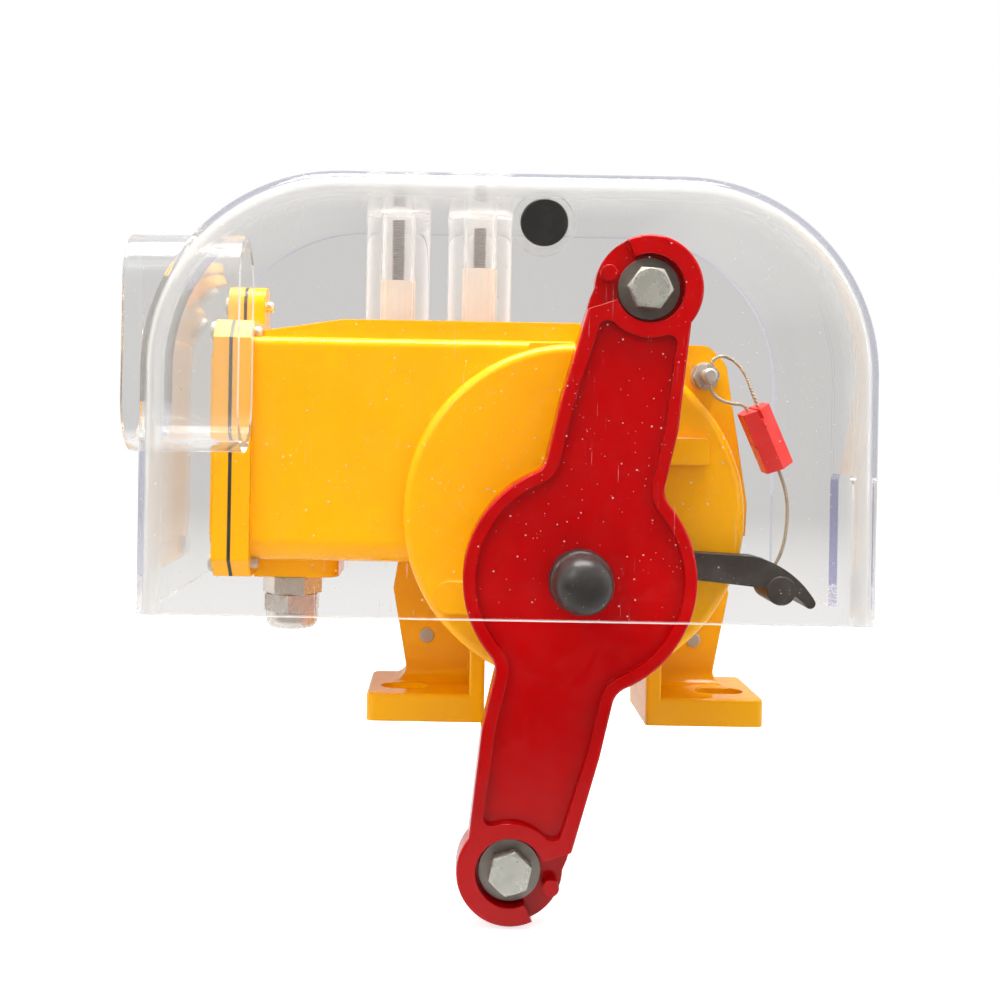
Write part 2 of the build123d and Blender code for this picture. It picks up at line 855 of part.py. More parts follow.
def spring_collar():
    """The collar whose pin drives the return spring, with the spigot that centres it."""
    back = collar_front + collar_width
    shape = ring(0, shaft_z, collar_radius, seat_diameter / 2, collar_front, back)
    spigot = return_spring_radius - return_spring_wire / 2 - spring_fit
    shape += ring(0, shaft_z, spigot, seat_diameter / 2, back - 1, rear_hub_front - 3)
    shape += disc(0, shaft_z + collar_radius - 2.6, 2, back - 1, back + 4)
    return shape - cam_key()


def coil_spring(x, z, start, radius, wire, pitch, turns):
    """A close-wound spring about an axis along Y."""
    path = Helix(pitch, pitch * turns, radius)
    section = Plane(path @ 0, z_dir=path % 0) * Circle(wire / 2)
    body = sweep(section, path=path, is_frenet=True)
    return Pos(x, start, z) * body.rotate(Axis.X, -90)


def return_spring():
    """The torsion spring that brings the lever back, with the leg that lies on the peg."""
    start = collar_front + collar_width + return_spring_wire / 2 + spring_fit
    end = start + return_spring_pitch * return_spring_turns
    coil = coil_spring(
        0, shaft_z, start, return_spring_radius, return_spring_wire, return_spring_pitch, return_spring_turns
    )
    leg_face = Pos(end, shaft_z) * Circle(return_spring_wire / 2)
    return coil + along_x(leg_face, return_spring_radius, spring_peg_x() + 2)


# Lever
def lever_outline():
    """Half of the lever's outline above the pivot, as seen from the front and upright."""
    arm = face_of(
        [
            (-arm_half_width, 0),
            (-arm_half_width, arm_shoulder),
            (-arm_inner_end, arm_end),
            (-eye_radius + 1.2, lever_reach),
            (eye_radius - 4.5, lever_reach),
            (arm_outer_end, arm_end),
            (arm_half_width, arm_shoulder),
            (arm_half_width, 0),
        ]
    )
    return arm


def hub_corners(face, radius, half_width):
    """The corners where the arms' straight sides leave the hub's circle."""
    return face.vertices().filter_by(
        lambda v: abs(math.hypot(v.X, v.Y) - radius) < 0.01 and abs(abs(v.X) - half_width) < 0.01
    )


def lever_plate_face():
    """The whole outline: hub disc, two arms and two eyes."""
    upper = lever_outline()
    face = Circle(lever_hub_radius) + upper + upper.rotate(Axis.Z, 180)
    face = fillet(hub_corners(face, lever_hub_radius, arm_half_width), arm_fillet)
    eyes = Pos(0, lever_reach) * Circle(eye_radius) + Pos(0, -lever_reach) * Circle(eye_radius)
    return face + eyes


def lever_pocket_face():
    """The shallow pocket inside the rim, ending in a wave beside each eye."""
    upper = face_of(
        [
            (-arm_half_width + rim_width, 0),
            (-arm_half_width + rim_width, arm_shoulder),
            (-arm_inner_end + rim_width + 0.6, arm_end - 8),
            (arm_outer_end - rim_width + 1.2, arm_end - 8),
            (arm_half_width - rim_width, arm_shoulder),
            (arm_half_width - rim_width, 0),
        ]
    )
    face = Circle(lever_hub_radius - rim_width) + upper + upper.rotate(Axis.Z, 180)
    corners = hub_corners(face, lever_hub_radius - rim_width, arm_half_width - rim_width)
    face = fillet(corners, arm_fillet + rim_width)
    web = eye_recess_radius + 6.2
    face -= Pos(0, lever_reach) * Circle(web) + Pos(0, -lever_reach) * Circle(web)
    ends = face.vertices().filter_by(lambda v: abs(v.Y) > arm_end - 22)
    return fillet(ends, 3)


def eye_shelf_face():
    """The open stretch of an eye's rim where the rope comes in, about the eye's middle."""
    reach = eye_radius + 6
    start = math.radians(eye_shelf_from)
    stop = math.radians(eye_shelf_to)
    middle = (start + stop) / 2
    wedge = face_of(
        [
            (0, 0),
            (reach * math.cos(start), reach * math.sin(start)),
            (1.4 * reach * math.cos(middle), 1.4 * reach * math.sin(middle)),
            (reach * math.cos(stop), reach * math.sin(stop)),
        ]
    )
    return wedge


def lever_at_rest(shape):
    """Moves a shape drawn upright about the origin onto the shaft, leaning as at rest."""
    return on_shaft(Pos(0, 0, shaft_z) * shape, rest_tilt)


def lever_arm():
    """The cast double lever: rimmed pocket, two eyes with recesses, and the hub."""
    plate = along_y(lever_plate_face(), lever_front, lever_back)
    plate = fillet(plate.faces().sort_by(Axis.Y)[0].outer_wire().edges(), 1.2)
    shape = plate - along_y(lever_pocket_face(), lever_front - 1, lever_front + pocket_depth)
    shape += along_y(Circle(lever_hub_boss), lever_back - 1, lever_hub_back)
    for turn in (0, 180):
        eye = Pos(0, lever_reach)
        cut = along_y(eye * Circle(eye_recess_radius), lever_front - 1, lever_front + eye_recess_depth)
        cut += along_y(eye * eye_shelf_face(), lever_front - 1, lever_front + eye_recess_depth)
        stub_angle = math.radians(rope_stub_angle)
        stub_x = rope_stub_reach * math.cos(stub_angle)
        stub_z = lever_reach + rope_stub_reach * math.sin(stub_angle)
        stub = along_y(
            Pos(stub_x, stub_z) * Circle(rope_stub_radius), lever_front + 0.6, lever_front + eye_recess_depth
        )
        cut -= stub
        cut += along_y(eye * Circle(eye_bore / 2), lever_front, lever_back + 1)
        shape -= cut.rotate(Axis.Y, turn)
    shape = lever_at_rest(shape)
    shape -= disc(0, shaft_z, seat_diameter / 2, lever_front - 1, lever_hub_back + 1)
    return shape - lever_key_blank()


def rope_clamp_set():
    """Bolts, washers and nuts of both eyes, each as a list of two solids."""
    floor = lever_front + eye_recess_depth
    washer_front = floor - clamp_washer_thickness
    head_front = washer_front - clamp_head_height
    bolt_back = lever_back + clamp_nut_height + clamp_bolt_spare
    bolts, washers, nuts = [], [], []
    for turn, head_turn in ((0, 8), (180, 30)):
        eye = Pos(0, lever_reach)
        head = along_y(eye * hexagon(clamp_head_flats, head_turn), head_front, washer_front)
        head -= corner_cut(eye, head_front)
        bolt = head + along_y(eye * Circle(clamp_bolt_diameter / 2), washer_front, bolt_back)
        washer_face = Circle(clamp_washer_diameter / 2) - Circle(clamp_bolt_diameter / 2 + screw_fit)
        washer = along_y(eye * washer_face, washer_front, floor)
        nut_face = hexagon(clamp_head_flats, head_turn) - Circle(clamp_bolt_diameter / 2)
        nut = along_y(eye * nut_face, lever_back, lever_back + clamp_nut_height)
        bolts.append(lever_at_rest(bolt.rotate(Axis.Y, turn)))
        washers.append(lever_at_rest(washer.rotate(Axis.Y, turn)))
        nuts.append(lever_at_rest(nut.rotate(Axis.Y, turn)))
    return bolts, washers, nuts


def corner_cut(place, front):
    """The chamfer that rounds off a bolt head's corners, as the stock to remove."""
    corner = clamp_head_flats / 2 / math.cos(math.radians(30))
    stock = along_y(place * Circle(corner + 1), front - 0.01, front + 1.2)
    cone_low = clamp_head_flats / 2 - 0.3
    cone = Solid.make_cone(cone_low, cone_low + 1.2 * 1.8, 1.2)
    cone = cone.rotate(Axis.X, -90)
    centre = place.position
    cone = Pos(centre.X, front, centre.Y) * cone
    return stock - cone


def hub_bolt():
    """The bolt that holds the lever on the shaft."""
    seat = lever_front + pocket_depth - hub_washer_thickness
    head = along_y(Pos(0, shaft_z) * hexagon(hub_bolt_flats), seat - hub_bolt_head, seat)
    return head + disc(0, shaft_z, hub_bolt_diameter / 2, seat, shaft_front() + 12)


def hub_washer():
    """The washer under the hub bolt."""
    seat = lever_front + pocket_depth
    inner = hub_bolt_diameter / 2 + screw_fit
    return ring(0, shaft_z, hub_washer_radius, inner, seat - hub_washer_thickness, seat)


def hub_cap():
    """The black domed cap over the hub bolt."""
    seat = lever_front + pocket_depth
    step = seat - cap_flange_length
    dome = disc(0, shaft_z, cap_radius, cap_front, step)
    dome = fillet(dome.edges().filter_by(GeomType.CIRCLE).sort_by(Axis.Y)[0], cap_round)
    shape = dome + disc(0, shaft_z, cap_flange_radius, step, seat)
    return shape - disc(0, shaft_z, cap_radius - cap_wall, cap_front + 9, seat + 1)


# Microswitches
def switch_case(front):
    """One microswitch case, with screw holes and the plunger's guide bore."""
    half = switch_width / 2
    case = block((-half, half), (front, front + switch_depth), (switch_bottom, switch_bottom + switch_height))
    case = fillet(case.edges().filter_by(Axis.Y), 2)
    for side in (-1, 1):
        case -= disc(side * switch_screw_x, bracket_z(), m4_shank / 2, front - 1, front + switch_depth + 1)
    middle = front + switch_depth / 2
    bore = Circle(plunger_diameter / 2 + running_fit)
    case -= along_z(Pos(0, middle) * bore, switch_bottom - 1, switch_bottom + plunger_bore_depth)
    for x in (-18, 0, 18):
        top = switch_bottom + switch_height
        case -= block((x - 3.2, x + 3.2), (middle - 0.4, middle + 0.4), (top - 4, top + 1))
    return case


def switch_terminals(front):
    """The three flat tabs on top of a microswitch."""
    middle = front + switch_depth / 2
    top = switch_bottom + switch_height
    return [block((x - 3.2, x + 3.2), (middle - 0.4, middle + 0.4), (top - 4, top + 8)) for x in (-18, 0, 18)]


def plunger(front):
    """A plunger with a round tip that stands just clear of its cam."""
    middle = front + switch_depth / 2
    tip = shaft_z + cam_radius + body_gap
    radius = plunger_diameter / 2
    shape = along_z(Pos(0, middle) * Circle(radius), tip + radius, switch_bottom + plunger_engaged)
    return shape + Pos(0, middle, tip + radius) * Sphere(radius)


def switch_front(cam_front):
    """The Y of a microswitch's front face, centred on its cam."""
    return cam_front + cam_width / 2 - switch_depth / 2


def switch_insulator():
    """The insulating plate between the microswitches."""
    half = switch_width / 2
    front = switch_front(cam_a_front) + switch_depth
    back = switch_front(cam_b_front)
    plate = block((-half, half), (front, back), (switch_bottom + 1, switch_bottom + switch_height + 6))
    for side in (-1, 1):
        plate -= disc(side * switch_screw_x, bracket_z(), m4_shank / 2, front - 1, back + 1)
    return plate


def switch_bracket():
    """The steel plate that ties both microswitches to the pillars."""
    front = bracket_front()
    half = bracket_half_width
    low = switch_bottom - 2
    plate = block((-half, half), (front, front + bracket_thickness), (low, switch_bottom + switch_height + 2))
    plate = fillet(plate.edges().filter_by(Axis.Y), 4)
    lip = block((-half + 12, half - 12), (front, front + 10), (low, low + bracket_thickness))
    shape = plate + lip
    for side in (-1, 1):
        for x in (switch_screw_x, pillar_x):
            shape -= disc(side * x, bracket_z(), m4_shank / 2, front - 1, front + bracket_thickness + 1)
    return shape


def switch_screws():
    """Two long screws through the switches and two short ones into the pillars."""
    front = switch_front(cam_a_front)
    plate_back = bracket_front() + bracket_thickness
    screws = []
    for side in (-1, 1):
        x = side * switch_screw_x
        head = disc(x, bracket_z(), m4_head / 2, front - m4_head_height, front)
        screws.append(head + disc(x, bracket_z(), m4_shank / 2, front, plate_back + 2))
        x = side * pillar_x
        head = disc(x, bracket_z(), m4_head / 2, plate_back, plate_back + m4_head_height)
        screws.append(head + disc(x, bracket_z(), m4_shank / 2, bracket_front() - 10, plate_back))
    return screws


# Reset handle group
def reset_handle():
    """The black handle: hub, blade and a tip that curls down over the grip pin."""
    hub = Pos(reset_x, reset_z) * Circle(reset_hub_radius)
    curl_from = arc_point(curl_centre, curl_radius, 79)
    curl_middle = arc_point(curl_centre, curl_radius, 55)
    curl_to = arc_point(curl_centre, curl_radius, 31)
    top = Polyline((reset_x, 86.5), (50, 82.6), curl_from)
    curl = ThreePointArc(curl_from, curl_middle, curl_to)
    tip = ThreePointArc(curl_to, (99.6, 60.4), (96.8, 60.6))
    under = ThreePointArc((96.8, 60.6), (90, 66.3), (80, 68.3))
    low = Polyline((80, 68.3), (50, 71.3), (reset_x, 70), (reset_x, 86.5))
    blade = make_face(top + curl + tip + under + low)
    grip_zone = Pos((reset_grip_from + 110) / 2, 70) * Rectangle(110 - reset_grip_from, 60)
    shape = along_y(hub + blade, reset_front, reset_back)
    shape += along_y(blade & grip_zone, reset_front, reset_grip_back)
    shape -= reset_grip_pin()
    shape -= disc(reset_x, reset_z, reset_spindle_diameter / 2, reset_front - 1, reset_back + 1)
    return shape - roll_pin(handle_pin_y())


def reset_grip_pin():
    """The round pin under the handle's tip."""
    pin = disc(reset_pin_x, reset_pin_z, reset_pin_radius, reset_front - 1, reset_grip_back)
    return fillet(pin.edges().filter_by(GeomType.CIRCLE), 0.8)


def handle_pin_y():
    """The Y of the roll pin through the handle's hub."""
    return (reset_front + reset_back) / 2


def pawl_pin_y():
    """The Y of the roll pin through the pawl."""
    return latch_front + latch_width / 2


def roll_pin(y, reach=None):
    """A roll pin across the reset spindle, upright."""
    reach = reach or reset_hub_radius - 1.5
    return along_z(Pos(reset_x, y) * Circle(roll_pin_diameter / 2), reset_z - reach, reset_z + reach)


def reset_spindle():
    """The spindle through the drum's front wall."""
    end = latch_front + latch_width + 2
    shape = disc(reset_x, reset_z, reset_spindle_diameter / 2, reset_front + 0.5, end)
    shape -= roll_pin(handle_pin_y())
    return shape - roll_pin(pawl_pin_y(), pawl_hub_radius - 1)


def reset_bush():
    """The bronze bush of the reset spindle."""
    outer = reset_spindle_diameter / 2 + bush_wall
    inner = reset_spindle_diameter / 2 + running_fit
    return ring(reset_x, reset_z, outer, inner, reset_boss_front, drum_front + front_wall)


def reset_pawl():
    """The pawl whose nose stands just clear of the latch disc, with the spring's spigot."""
    centres = math.hypot(reset_x, reset_z - shaft_z)
    reach = centres - latch_radius - body_gap
    towards = math.degrees(math.atan2(shaft_z - reset_z, -reset_x))
    nose = face_of([(0, -6), (reach, -1.5), (reach, 1.5), (0, 6)])
    face = Circle(pawl_hub_radius) + nose
    face = Pos(reset_x, reset_z) * Rot(0, 0, towards) * face
    shape = along_y(face, latch_front, latch_front + latch_width)
    spigot = reset_spring_radius - reset_spring_wire / 2 - spring_fit
    shape += disc(reset_x, reset_z, spigot, drum_front + front_wall + body_gap, latch_front + 1)
    hole = disc(reset_x, reset_z, reset_spindle_diameter / 2, drum_front, latch_front + latch_width + 1)
    return shape - hole - roll_pin(pawl_pin_y(), pawl_hub_radius - 1)


def reset_spring():
    """The torsion spring that holds the handle up."""
    start = drum_front + front_wall + reset_spring_wire / 2 + spring_fit
    pitch = reset_spring_wire + 0.3
    return coil_spring(
        reset_x, reset_z, start, reset_spring_radius, reset_spring_wire, pitch, reset_spring_turns
    )


# Seal
def seal_stud():
    """The stud on the casting's shoulder, drilled across near its end."""
    shape = disc(stud_x, stud_z, stud_diameter / 2, stud_front, body_front + stud_depth)
    shape = chamfer(shape.edges().filter_by(GeomType.CIRCLE).sort_by(Axis.Y)[0], 0.8)
    hole = Pos(stud_x, stud_front + 3) * Circle(wire_diameter / 2 + wire_fit)
    return shape - along_z(hole, stud_z - stud_diameter, stud_z + stud_diameter)


def seal_nut():
    """The nut on the stud."""
    back = body_front - seal_washer_thickness
    face = hexagon(stud_nut_flats, 8) - Circle(stud_diameter / 2)
    return along_y(Pos(stud_x, stud_z) * face, back - stud_nut_height, back)


def seal_washer():
    """The washer under the nut."""
    return ring(
        stud_x, stud_z, seal_washer_radius, stud_diameter / 2, body_front - seal_washer_thickness, body_front
    )


# The seal leans between its two ends, and both wires leave it along its own axis
seal_low = Vector(86.3, -54.6, 119.0)
seal_high = Vector(74.6, -58.4, 143.6)
seal_axis = (seal_high - seal_low).normalized()
seal_place = Plane(seal_low, x_dir=(0, -1, 0.2), z_dir=seal_axis)
wire_spread = 2.4
loop_start = seal_high + seal_place.y_dir * wire_spread
loop_end = seal_high - seal_place.y_dir * wire_spread
stud_wire_y = stud_front + 3

# The handle's top is an arc, and the wire's lower end stands square on it
curl_centre = (66.7, 43.1)
curl_radius = 39.2
wire_foot_angle = 60.0
foot_direction = Vector(
    math.cos(math.radians(wire_foot_angle)), 0, math.sin(math.radians(wire_foot_angle))
)
wire_foot = Vector(curl_centre[0], -53.6, curl_centre[1]) + foot_direction * curl_radius

# The wire's route from the handle up to the seal, and round through the stud
tail_route = [
    wire_foot,
    wire_foot + foot_direction * 6.5,
    Vector(91.2, -53.5, 94.5),
    Vector(91.4, -53.5, 104.0),
    seal_low - seal_axis * 7,
    seal_low,
]
loop_route = [
    loop_start,
    loop_start + seal_axis * 6.5,
    Vector(72.0, -58.0, 157.4),
    Vector(67.6, -56.2, 163.8),
    Vector(61.6, -55.9, 166.6),
    Vector(stud_x, stud_wire_y, 163.6),
    Vector(stud_x, stud_wire_y, 151.8),
    Vector(59.6, -58.4, 147.6),
    Vector(64.8, -60.0, 145.6),
    loop_end + seal_axis * 3.4,
    loop_end,
]


def route_radii(points):
    """A bend radius for each corner: 0.45 of its shorter run over the tangent of half the turn."""
    radii = []
    for before, here, after in zip(points, points[1:], points[2:]):
        turn = (here - before).get_angle(after - here)
        shorter = min((here - before).length, (after - here).length)
        radii.append(0.45 * shorter / math.tan(math.radians(turn / 2)))
    return radii


def wire_along(name, points):
    """A round wire along straight runs joined by tangent arcs."""
    radii = route_radii(points)
    print(name, "bend radii", [round(radius, 1) for radius in radii])
    path = FilletPolyline(*points, radius=radii)
    section = Plane(path @ 0, z_dir=path % 0) * Circle(wire_diameter / 2)
    solid = sweep(section, path=path)
    expected = path.length * math.pi * wire_diameter**2 / 4
    print(name, "length", round(path.length, 1))
    print(name, "volume", round(solid.volume, 1), "expected", round(expected, 1))
    return solid


def seal_body():
    """The red hexagonal seal, with a slit across its upper end."""
    length = (seal_high - seal_low).length
    shape = extrude(seal_place * hexagon(seal_flats), amount=length)
    slit_floor = seal_place.offset(length - seal_slit_depth)
    slit = extrude(slit_floor * Rectangle(2 * seal_flats, seal_slit), amount=seal_slit_depth + 1)
    return shape - slit


# Hood
def hood_profile(grow, bottom):
    """The hood's arch in X and Z, moved out by grow, down to bottom."""
    left = hood_left - grow
    right = hood_right + grow
    top = hood_top + grow
    radius = hood_corner + grow
    diagonal = radius * (1 - math.sqrt(0.5))
    lines = Line((left, bottom), (left, top - radius))
    lines += ThreePointArc((left, top - radius), (left + diagonal, top - diagonal), (left + radius, top))
    lines += Line((left + radius, top), (right - radius, top))
    lines += ThreePointArc((right - radius, top), (right - diagonal, top - diagonal), (right, top - radius))
    lines += Line((right, top - radius), (right, bottom))
    lines += Line((right, bottom), (left, bottom))
    return make_face(lines)


def oval(width, height):
    """An upright slot shape."""
    return SlotOverall(height, width, rotation=90)


def hood_shell():
    """The clear shell: arched front panel, roof and side walls, open below and behind."""
    outer = along_y(hood_profile(0, hood_bottom), hood_front, hood_back)
    front_edges = outer.faces().sort_by(Axis.Y)[0].edges().sort_by(Axis.Z)[1:]
    outer = fillet(front_edges, hood_edge_round)
    inner = along_y(hood_profile(-hood_wall, hood_bottom - 20), hood_front + hood_wall, hood_back + 1)
    front_edges = inner.faces().sort_by(Axis.Y)[0].edges().sort_by(Axis.Z)[1:]
    inner = fillet(front_edges, hood_edge_round - hood_wall)
    shape = outer - inner
    boss = disc(plug_x, plug_z, plug_boss_radius, hood_front + 1, hood_front + plug_boss_depth)
    shape += boss
    shape -= disc(plug_x, plug_z, plug_radius - 1.2, hood_front - 1, hood_front + plug_boss_depth + 1)
    notch_width = notch_back - notch_front
    notch = Pos((notch_front + notch_back) / 2, (notch_top + hood_bottom - 30) / 2) * RectangleRounded(
        notch_width, notch_top - hood_bottom + 30, notch_round
    )
    shape -= along_x(notch, hood_right - hood_wall - 5, hood_right + 1)
    hole = Pos(sleeve_y, sleeve_z) * oval(sleeve_depth, sleeve_height)
    return shape - along_x(hole, hood_left - 1, sleeve_right)


def hood_rope_sleeve():
    """The oval guide through the left wall for the pull rope."""
    outer = oval(sleeve_depth, sleeve_height)
    inner = oval(sleeve_depth - 2 * sleeve_wall, sleeve_height - 2 * sleeve_wall)
    shape = along_x(Pos(sleeve_y, sleeve_z) * (outer - inner), sleeve_left, sleeve_right)
    return shape


def hood_posts():
    """The two clear posts between the casting's pad and the roof."""
    face = Circle(post_radius) - Circle(post_bore / 2)
    bottom = box_top + top_pad_height
    return [along_z(Pos(x, post_y) * face, bottom, hood_top - hood_wall) for x in post_x]


def post_inserts():
    """The light sleeves in the lower half of each post."""
    face = Circle(post_bore / 2) - Circle(post_stud_diameter / 2)
    bottom = box_top + top_pad_height
    return [along_z(Pos(x, post_y) * face, bottom, top) for x, top in zip(post_x, insert_top)]


def post_studs():
    """The threaded rods from the pad up into the posts."""
    bottom = box_top - box_wall + 2
    face = Circle(post_stud_diameter / 2)
    return [along_z(Pos(x, post_y) * face, bottom, top) for x, top in zip(post_x, stud_top)]


def hood_plug():
    """The black plug in the boss of the front panel."""
    flange = disc(plug_x, plug_z, plug_radius, hood_front - plug_flange, hood_front)
    flange = fillet(flange.edges().filter_by(GeomType.CIRCLE).sort_by(Axis.Y)[0], 0.8)
    return flange + disc(plug_x, plug_z, plug_radius - 1.2, hood_front, hood_front + plug_boss_depth)


# Every node, written one by one
save("housing_casting", housing_casting())
save("end_cover", end_cover())
save("end_cover_gasket", end_cover_gasket())
save("end_cover_screws", *end_cover_screws())
save("rear_cover", rear_cover())
save("rear_cover_gasket", rear_cover_gasket())
save("rear_cover_screws", *rear_cover_screws())
save("leg_pins", *leg_pins())
save("gland_body", gland_body())
save("gland_washer", gland_washer())
save("gland_nut", gland_nut())
save("gland_insert", gland_insert())
save("terminal_strip", terminal_strip())
save("terminal_screws", *terminal_screws())
save("front_bush", front_bush())
save("shaft_seal", shaft_seal())
save("rear_bush", rear_bush())
save("reset_bush", reset_bush())
save("microswitch_a_case", switch_case(switch_front(cam_a_front)))
save("microswitch_b_case", switch_case(switch_front(cam_b_front)))
save(
    "microswitch_terminals",
    *switch_terminals(switch_front(cam_a_front)),
    *switch_terminals(switch_front(cam_b_front)),
)
save("microswitch_a_plunger", plunger(switch_front(cam_a_front)))
save("microswitch_b_plunger", plunger(switch_front(cam_b_front)))
save("switch_insulator", switch_insulator())
save("switch_bracket", switch_bracket())
save("switch_screws", *switch_screws())
save("main_shaft", main_shaft())
save("shaft_circlip", shaft_circlip())
save("lever_key", lever_key_blank())
save("cam_key", cam_key())
save("cam_a", switch_cam(1, cam_a_front))
save("cam_b", switch_cam(-1, cam_b_front))
save("shaft_spacers", *shaft_spacers())
save("latch_disc", latch_disc())
save("spring_collar", spring_collar())
save("return_spring", return_spring())
save("lever_arm", lever_arm())
rope_clamp_bolts, rope_clamp_washers, rope_clamp_nuts = rope_clamp_set()
save("rope_clamp_bolts", *rope_clamp_bolts)
save("rope_clamp_washers", *rope_clamp_washers)
save("rope_clamp_nuts", *rope_clamp_nuts)
save("hub_bolt", hub_bolt())
save("hub_washer", hub_washer())
save("hub_cap", hub_cap())
save("reset_handle", reset_handle())
save("reset_grip_pin", reset_grip_pin())
save("reset_spindle", reset_spindle())
save("reset_roll_pins", roll_pin(handle_pin_y()), roll_pin(pawl_pin_y(), pawl_hub_radius - 1))
save("reset_pawl", reset_pawl())
save("reset_spring", reset_spring())
save("seal_stud", seal_stud())
save("seal_nut", seal_nut())
save("seal_washer", seal_washer())
save("seal_body", seal_body())
save("seal_wire", wire_along("tail", tail_route), wire_along("loop", loop_route))
save("hood_shell", hood_shell())
save("hood_rope_sleeve", hood_rope_sleeve())
save("hood_posts", *hood_posts())
save("post_inserts", *post_inserts())
save("hood_plug", hood_plug())
save("post_studs", *post_studs())
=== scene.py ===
"""Dresses the rope pull switch: camera, light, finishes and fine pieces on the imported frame.

Lengths are in metres in the frame's own axes: X to the right, Y away from the viewer, Z up.
"""

from __future__ import annotations

import json
import logging
import math
from dataclasses import dataclass, field
from enum import Enum
from typing import Any, Iterable, Sequence

import bmesh
import bpy
from mathutils import Matrix, Vector

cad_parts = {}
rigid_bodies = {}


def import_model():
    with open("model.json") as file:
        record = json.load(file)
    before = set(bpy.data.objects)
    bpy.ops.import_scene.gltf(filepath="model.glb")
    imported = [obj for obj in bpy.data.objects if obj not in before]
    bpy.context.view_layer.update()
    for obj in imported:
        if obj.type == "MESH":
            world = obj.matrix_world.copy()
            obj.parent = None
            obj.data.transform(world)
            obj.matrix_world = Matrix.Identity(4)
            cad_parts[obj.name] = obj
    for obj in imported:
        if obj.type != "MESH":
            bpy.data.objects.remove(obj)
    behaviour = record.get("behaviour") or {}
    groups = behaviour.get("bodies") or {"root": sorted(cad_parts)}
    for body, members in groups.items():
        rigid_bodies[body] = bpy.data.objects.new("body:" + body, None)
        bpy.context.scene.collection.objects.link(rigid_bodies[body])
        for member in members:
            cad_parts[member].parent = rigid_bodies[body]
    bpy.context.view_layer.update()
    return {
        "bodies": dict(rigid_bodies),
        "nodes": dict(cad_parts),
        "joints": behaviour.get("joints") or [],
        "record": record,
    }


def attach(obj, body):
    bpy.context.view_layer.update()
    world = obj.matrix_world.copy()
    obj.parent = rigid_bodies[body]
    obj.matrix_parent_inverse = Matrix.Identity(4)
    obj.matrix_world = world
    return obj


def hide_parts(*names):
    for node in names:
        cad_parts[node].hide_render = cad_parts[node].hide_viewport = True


LOG = logging.getLogger("rope_pull_switch")
MILLIMETRE = 0.001

# The curve of screen colours: straight up to the knee, a power above it.
SCREEN_KNEE = 0.04045
SCREEN_SLOPE = 12.92
SCREEN_OFFSET = 0.055
SCREEN_POWER = 2.4

# Light goes through the clear hood, posts and sleeve many times.
CLEAR_BOUNCES = 32
ALL_BOUNCES = 36

Colour = tuple[float, float, float, float]
Point = tuple[float, float, float]
Pair = tuple[float, float]

BLACK: Colour = (0.0, 0.0, 0.0, 1.0)
WHITE: Colour = (1.0, 1.0, 1.0, 1.0)
UNSCALED: Point = (1.0, 1.0, 1.0)
UNTURNED: Point = (0.0, 0.0, 0.0)


def srgb(red: float, green: float, blue: float) -> Colour:
    """Turns a colour as seen on a screen into the linear values that shaders use.

    Args:
        red: Red from 0 to 255.
        green: Green from 0 to 255.
        blue: Blue from 0 to 255.

    Returns:
        The linear colour with an alpha of 1.
    """

    def linear(value: float) -> float:
        """One channel, made linear."""
        share = value / 255
        if share <= SCREEN_KNEE:
            return share / SCREEN_SLOPE
        return ((share + SCREEN_OFFSET) / (1 + SCREEN_OFFSET)) ** SCREEN_POWER

    return (linear(red), linear(green), linear(blue), 1.0)


def scaled(point: Sequence[float]) -> Vector:
    """A point given in millimetres, in metres."""
    return Vector(point) * MILLIMETRE


class Slot(Enum):
    """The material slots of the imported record."""

    YELLOW_PAINT = "yellow_paint"
    RED_PAINT = "red_paint"
    CLEAR_PLASTIC = "clear_plastic"
    BLACK_PLASTIC = "black_plastic"
    BLACK_RUBBER = "black_rubber"
    WHITE_NYLON = "white_nylon"
    RED_PLASTIC = "red_plastic"
    NICKEL = "nickel"
    STEEL = "steel"
    BRONZE = "bronze"


